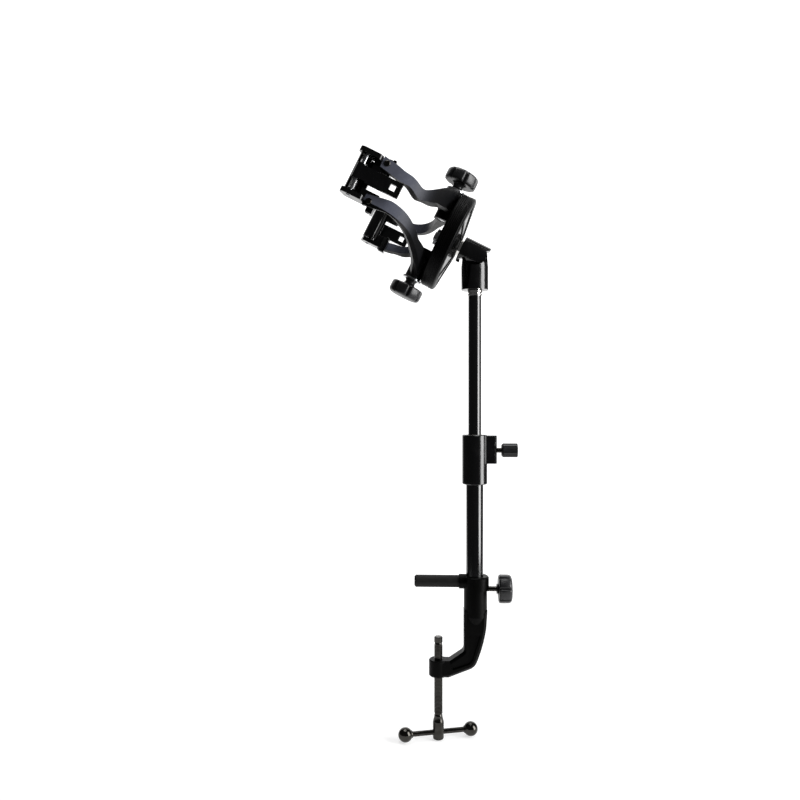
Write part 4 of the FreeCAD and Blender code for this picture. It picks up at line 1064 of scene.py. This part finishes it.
def waisted(bm, holder, waist, sweep):
    """Narrows an arm from its outer edge, and runs it closer to the middle between its root and its tip."""
    by_root, past_bend = waist
    inwards = holder.inverted()
    for vert in bm.verts:
        local = inwards @ vert.co
        along = local.y / MM + (local.x / MM - HINGE_N) * ALONG_N
        across = abs(local.z) / MM
        run = min(INNER_EDGE_RUN, max(0, along - INNER_EDGE_START))
        inner_edge = INNER_EDGE_U - INNER_EDGE_FALL * run
        narrow = by_root * smooth_step(along, *ROOT_WAIST)
        narrow += (past_bend - by_root) * smooth_step(along, *BEND_WAIST)
        narrow -= past_bend * smooth_step(along, *WAIST_END)
        closer = smooth_step(along, *SWEEP_START) - smooth_step(along, *SWEEP_END)
        across = inner_edge + (across - inner_edge) * (1 - narrow) - sweep * closer
        local.z = math.copysign(across * MM, local.z)
        vert.co = holder @ local


def painted_shade_band(bm, holder):
    """Parts an arm's broad faces along a line, and gives those beyond it, which stay black as painted shade.
    """
    inwards = holder.inverted()
    on_line = holder @ (Vector(BAND_POINT) * MM)
    outwards = (holder.to_3x3() @ Vector(BAND_OUTWARDS)).normalized()
    bmesh.ops.bisect_plane(bm, geom=all_parts(bm), dist=JOIN, plane_co=on_line, plane_no=outwards)
    band = set()
    for face in bm.faces:
        middle = face.calc_center_median()
        if (middle - on_line).dot(outwards) > 0 and (inwards @ middle).y > BAND_START_W * MM:
            band.add(face)
    return band


def claw_arm(node, body, holder, forked):
    bm = merged_copy(node)
    waist, sweep = FORKED_SHAPE if forked else TONGUED_SHAPE
    waisted(bm, holder, waist, sweep)
    softened(bm, ARM_EDGE)
    band = set() if forked else painted_shade_band(bm, holder)
    # Broad faces take the painted sheen, except those in the painted shade band; the edges stay black
    for face in bm.faces:
        broad = abs(face.normal.y) > BROAD_SIDE or abs(face.normal.dot(FORWARDS)) > BROAD_FACE
        face.material_index = 1 if broad and face not in band else 0
    weighted(finished(node + "_body", bm, UNMOVED, [MOULDED, PAINTED_SHEEN], body, [node], sharp=30))


claw_arm("near_upper_arm", "near_claw", HOLDER, True)
claw_arm("near_lower_arm", "near_claw", HOLDER, False)
claw_arm("far_lower_arm", "far_claw", FAR_HOLDER, True)
claw_arm("far_upper_arm", "far_claw", FAR_HOLDER, False)


def jaw_piece(node, body, width):
    """A yoke or a lever with its edges rounded."""
    bm = merged_copy(node)
    softened(bm, width)
    weighted(finished(node + "_body", bm, UNMOVED, [POLISHED], body, [node], sharp=30))


for side in ("near", "far"):
    jaw_piece(side + "_yoke", side + "_claw", YOKE_EDGE)
    jaw_piece(side + "_jaw_lever", side + "_jaw", LEVER_EDGE)

# Small round-headed screws with a cross recess. A head is twice as wide as its shank, and its slots are
# shares of the shank's radius and the head's height
SCREW_SINK = 0.6
SLOT_LENGTH = 2.2
SLOT_WIDTH = 0.42
SLOT_DEPTH = 1.3
TIP_SCREW_N = 93.5
TIP_SCREW_W = 93.0
TIP_SCREW_U = 16.85
TIP_SCREW = {"shank": 1.3, "head": 1.1}
HUB_SCREWS = 4
HUB_SCREW_RING = 37.0
HUB_SCREW_HEIGHT = 33.3
HUB_SCREW = {"shank": 1.5, "head": 1.3}


def screw_group(name, body, places, shank, head):
    heads = []
    slots = bmesh.new()
    profile = (
        (0, -SCREW_SINK),
        (shank * 2, -SCREW_SINK),
        (shank * 2, head * 0.3),
        (shank * 1.84, head * 0.6),
        (shank * 1.4, head * 0.86),
        (shank * 0.7, head),
        (0, head),
    )
    size = Vector((shank * SLOT_LENGTH, shank * SLOT_WIDTH, head * SLOT_DEPTH)) * MM
    slot_size = Matrix.Diagonal((*size, 1))
    for place in places:
        heads.append(lathe(profile, SMALL_STEPS, place))
        for turn in (0, QUARTER):
            slot_place = place @ shift(0, 0, head) @ turned(turn, "Z")
            bmesh.ops.create_cube(slots, size=1.0, matrix=slot_place @ slot_size)
    piece = finished(name, joined(*heads), UNMOVED, [NICKEL], body)
    cut(piece, to_object("cross", slots, UNMOVED))


for side, holder in (("near", HOLDER), ("far", FAR_HOLDER)):
    places = [
        holder @ shift(TIP_SCREW_N, TIP_SCREW_W, sign * TIP_SCREW_U) @ turned(-QUARTER, "X")
        for sign in (1, -1)
    ]
    screw_group(side + "_tip_screws", side + "_claw", places, **TIP_SCREW)
places = [
    HUB_AXIS @ turned(TAU * (index + 0.5) / HUB_SCREWS, "Z") @ shift(HUB_SCREW_RING, 0, HUB_SCREW_HEIGHT)
    for index in range(HUB_SCREWS)
]
screw_group("hub_cross_screws", "hub", places, **HUB_SCREW)

# Pivot bolt with a hexagon socket
BOLT_SEAT = -6.9
BOLT_END = 7.55
BOLT_R = 3.0
BOLT_HEAD_R = 5.0
BOLT_HEAD = 3.4
SOCKET_R = 2.9
SOCKET_DEPTH = 4.4


def socket_bolt():
    top = BOLT_SEAT - BOLT_HEAD
    bm = lathe(
        (
            (0, top),
            (BOLT_HEAD_R - 1.2, top),
            (BOLT_HEAD_R - 0.4, top + 0.3),
            (BOLT_HEAD_R, top + 1.0),
            (BOLT_HEAD_R, BOLT_SEAT - 0.05),
            (BOLT_R, BOLT_SEAT - 0.05),
            (BOLT_R, BOLT_END),
            (0, BOLT_END),
        ),
        MIDDLE_STEPS,
    )
    nodes = ["pivot_bolt"]
    piece = finished("pivot_socket_bolt", bm, PIVOT_AXIS, [ZINC], "elbow_tilt", nodes)
    key = bmesh.new()
    bmesh.ops.create_cone(
        key,
        cap_ends=True,
        segments=6,
        radius1=SOCKET_R * MM,
        radius2=SOCKET_R * MM,
        depth=SOCKET_DEPTH * MM,
    )
    cut(piece, to_object("key_socket", key, PIVOT_AXIS @ shift(0, 0, top)))


socket_bolt()

# Floor that curves up into a backdrop behind the object, in metres. It is narrow in front, so that it
# doesn't hide the side lamp from the tubes, and widens behind to fill the picture
FLOOR_Z = CAD_BOX[0].z - 0.0005
FLOOR_FRONT = -0.35
FLOOR_HALF = 0.45
FLOOR_SPREAD = 0.6
BACKDROP_Y = 1.7
BACKDROP_TOP = 3.0
CURVE_R = 0.6
CURVE_STEPS = 8

# The paper's own light, which only the camera and reflections see, grows from NEAR_GLOW to 1 over this Y
NEAR_GLOW = 0.64
GLOW_RISE = (0.1, 1.0)


def studio_paper():
    """White paper that takes light and shadow and also shows white by itself, but lights nothing."""
    finish = Finish("studio_paper", Emission_Strength=1.0)
    finish.put("Base Color", (0.5, 0.5, 0.5, 1.0))
    finish.put("Roughness", 0.7)
    camera_ray = finish.node("ShaderNodeLightPath", {}, {}, "Is Camera Ray")
    glossy_ray = finish.node("ShaderNodeLightPath", {}, {}, "Is Glossy Ray")
    clear_ray = finish.node("ShaderNodeLightPath", {}, {}, "Is Transmission Ray")
    seen = camera_ray + glossy_ray + clear_ray
    glow = NEAR_GLOW + finish.axes()[1].between(*GLOW_RISE) * (1 - NEAR_GLOW)
    finish.put("Emission Color", finish.mix(seen * glow, (0.0, 0.0, 0.0), (1.0, 1.0, 1.0)))
    return finish.material


def sweep_floor():
    line = [(FLOOR_FRONT, FLOOR_Z), (0.0, FLOOR_Z), (BACKDROP_Y - CURVE_R, FLOOR_Z)]
    for step in range(1, CURVE_STEPS + 1):
        angle = QUARTER * step / CURVE_STEPS
        y = BACKDROP_Y - CURVE_R + CURVE_R * math.sin(angle)
        line.append((y, FLOOR_Z + CURVE_R * (1 - math.cos(angle))))
    line.append((BACKDROP_Y, BACKDROP_TOP))
    bm = bmesh.new()
    rows = []
    for y, z in line:
        half = FLOOR_HALF + max(0.0, y) * FLOOR_SPREAD
        rows.append((bm.verts.new((-half, y, z)), bm.verts.new((half, y, z))))
    for (left, right), (next_left, next_right) in zip(rows, rows[1:]):
        bm.faces.new((left, right, next_right, next_left))
    mesh = bpy.data.meshes.new("studio_floor")
    bm.to_mesh(mesh)
    bm.free()
    mesh.materials.append(studio_paper())
    mesh.shade_smooth()
    floor = bpy.data.objects.new("studio_floor", mesh)
    bpy.context.scene.collection.objects.link(floor)


sweep_floor()

# Lamps, in metres and watts
AIM = Vector((0.0, 0.0, 0.15))
SIDE_LAMP = {"place": (1.22, -0.47, 0.4), "width": 0.75, "height": 1.4, "power": 36}
TOP_LAMP = {"place": (-0.1, 0.1, 1.9), "width": 1.2, "height": 1.2, "power": 20}
AIR_COLOUR = (0.8, 0.8, 0.82, 1.0)
AIR_STRENGTH = 0.08


def softbox(name, place, width, height, power):
    light = bpy.data.lights.new(name, "AREA")
    light.shape = "RECTANGLE"
    light.size = width
    light.size_y = height
    light.energy = power
    lamp = bpy.data.objects.new(name, light)
    lamp.location = place
    lamp.rotation_euler = (AIM - Vector(place)).to_track_quat("-Z", "Y").to_euler()
    bpy.context.scene.collection.objects.link(lamp)


def studio_air():
    world = bpy.data.worlds.new("studio_air")
    world.use_nodes = True
    background = world.node_tree.nodes["Background"]
    background.inputs["Color"].default_value = AIR_COLOUR
    background.inputs["Strength"].default_value = AIR_STRENGTH
    bpy.context.scene.world = world


softbox("side_softbox", **SIDE_LAMP)
softbox("top_softbox", **TOP_LAMP)
studio_air()

# Camera, with its place in metres. AXIS_PIXEL is where the direction of Y falls in the picture, a little
# beside the picture's middle
PICTURE_PIXELS = 800
SENSOR_WIDTH = 36
FOCAL_PIXELS = 744
AXIS_PIXEL = (428.4, 396.9)
CAMERA_PLACE = (-0.0093, -0.6912, 0.1765)


def studio_camera():
    lens = bpy.data.cameras.new("camera")
    lens.sensor_width = SENSOR_WIDTH
    lens.lens = SENSOR_WIDTH * FOCAL_PIXELS / PICTURE_PIXELS
    camera = bpy.data.objects.new("camera", lens)
    camera.location = CAMERA_PLACE
    middle = PICTURE_PIXELS / 2
    ahead = Vector(((middle - AXIS_PIXEL[0]) / FOCAL_PIXELS, 1.0, (AXIS_PIXEL[1] - middle) / FOCAL_PIXELS))
    camera.rotation_euler = ahead.to_track_quat("-Z", "Y").to_euler()
    bpy.context.scene.collection.objects.link(camera)
    bpy.context.scene.camera = camera


studio_camera()
bpy.context.scene.view_settings.view_transform = "Standard"
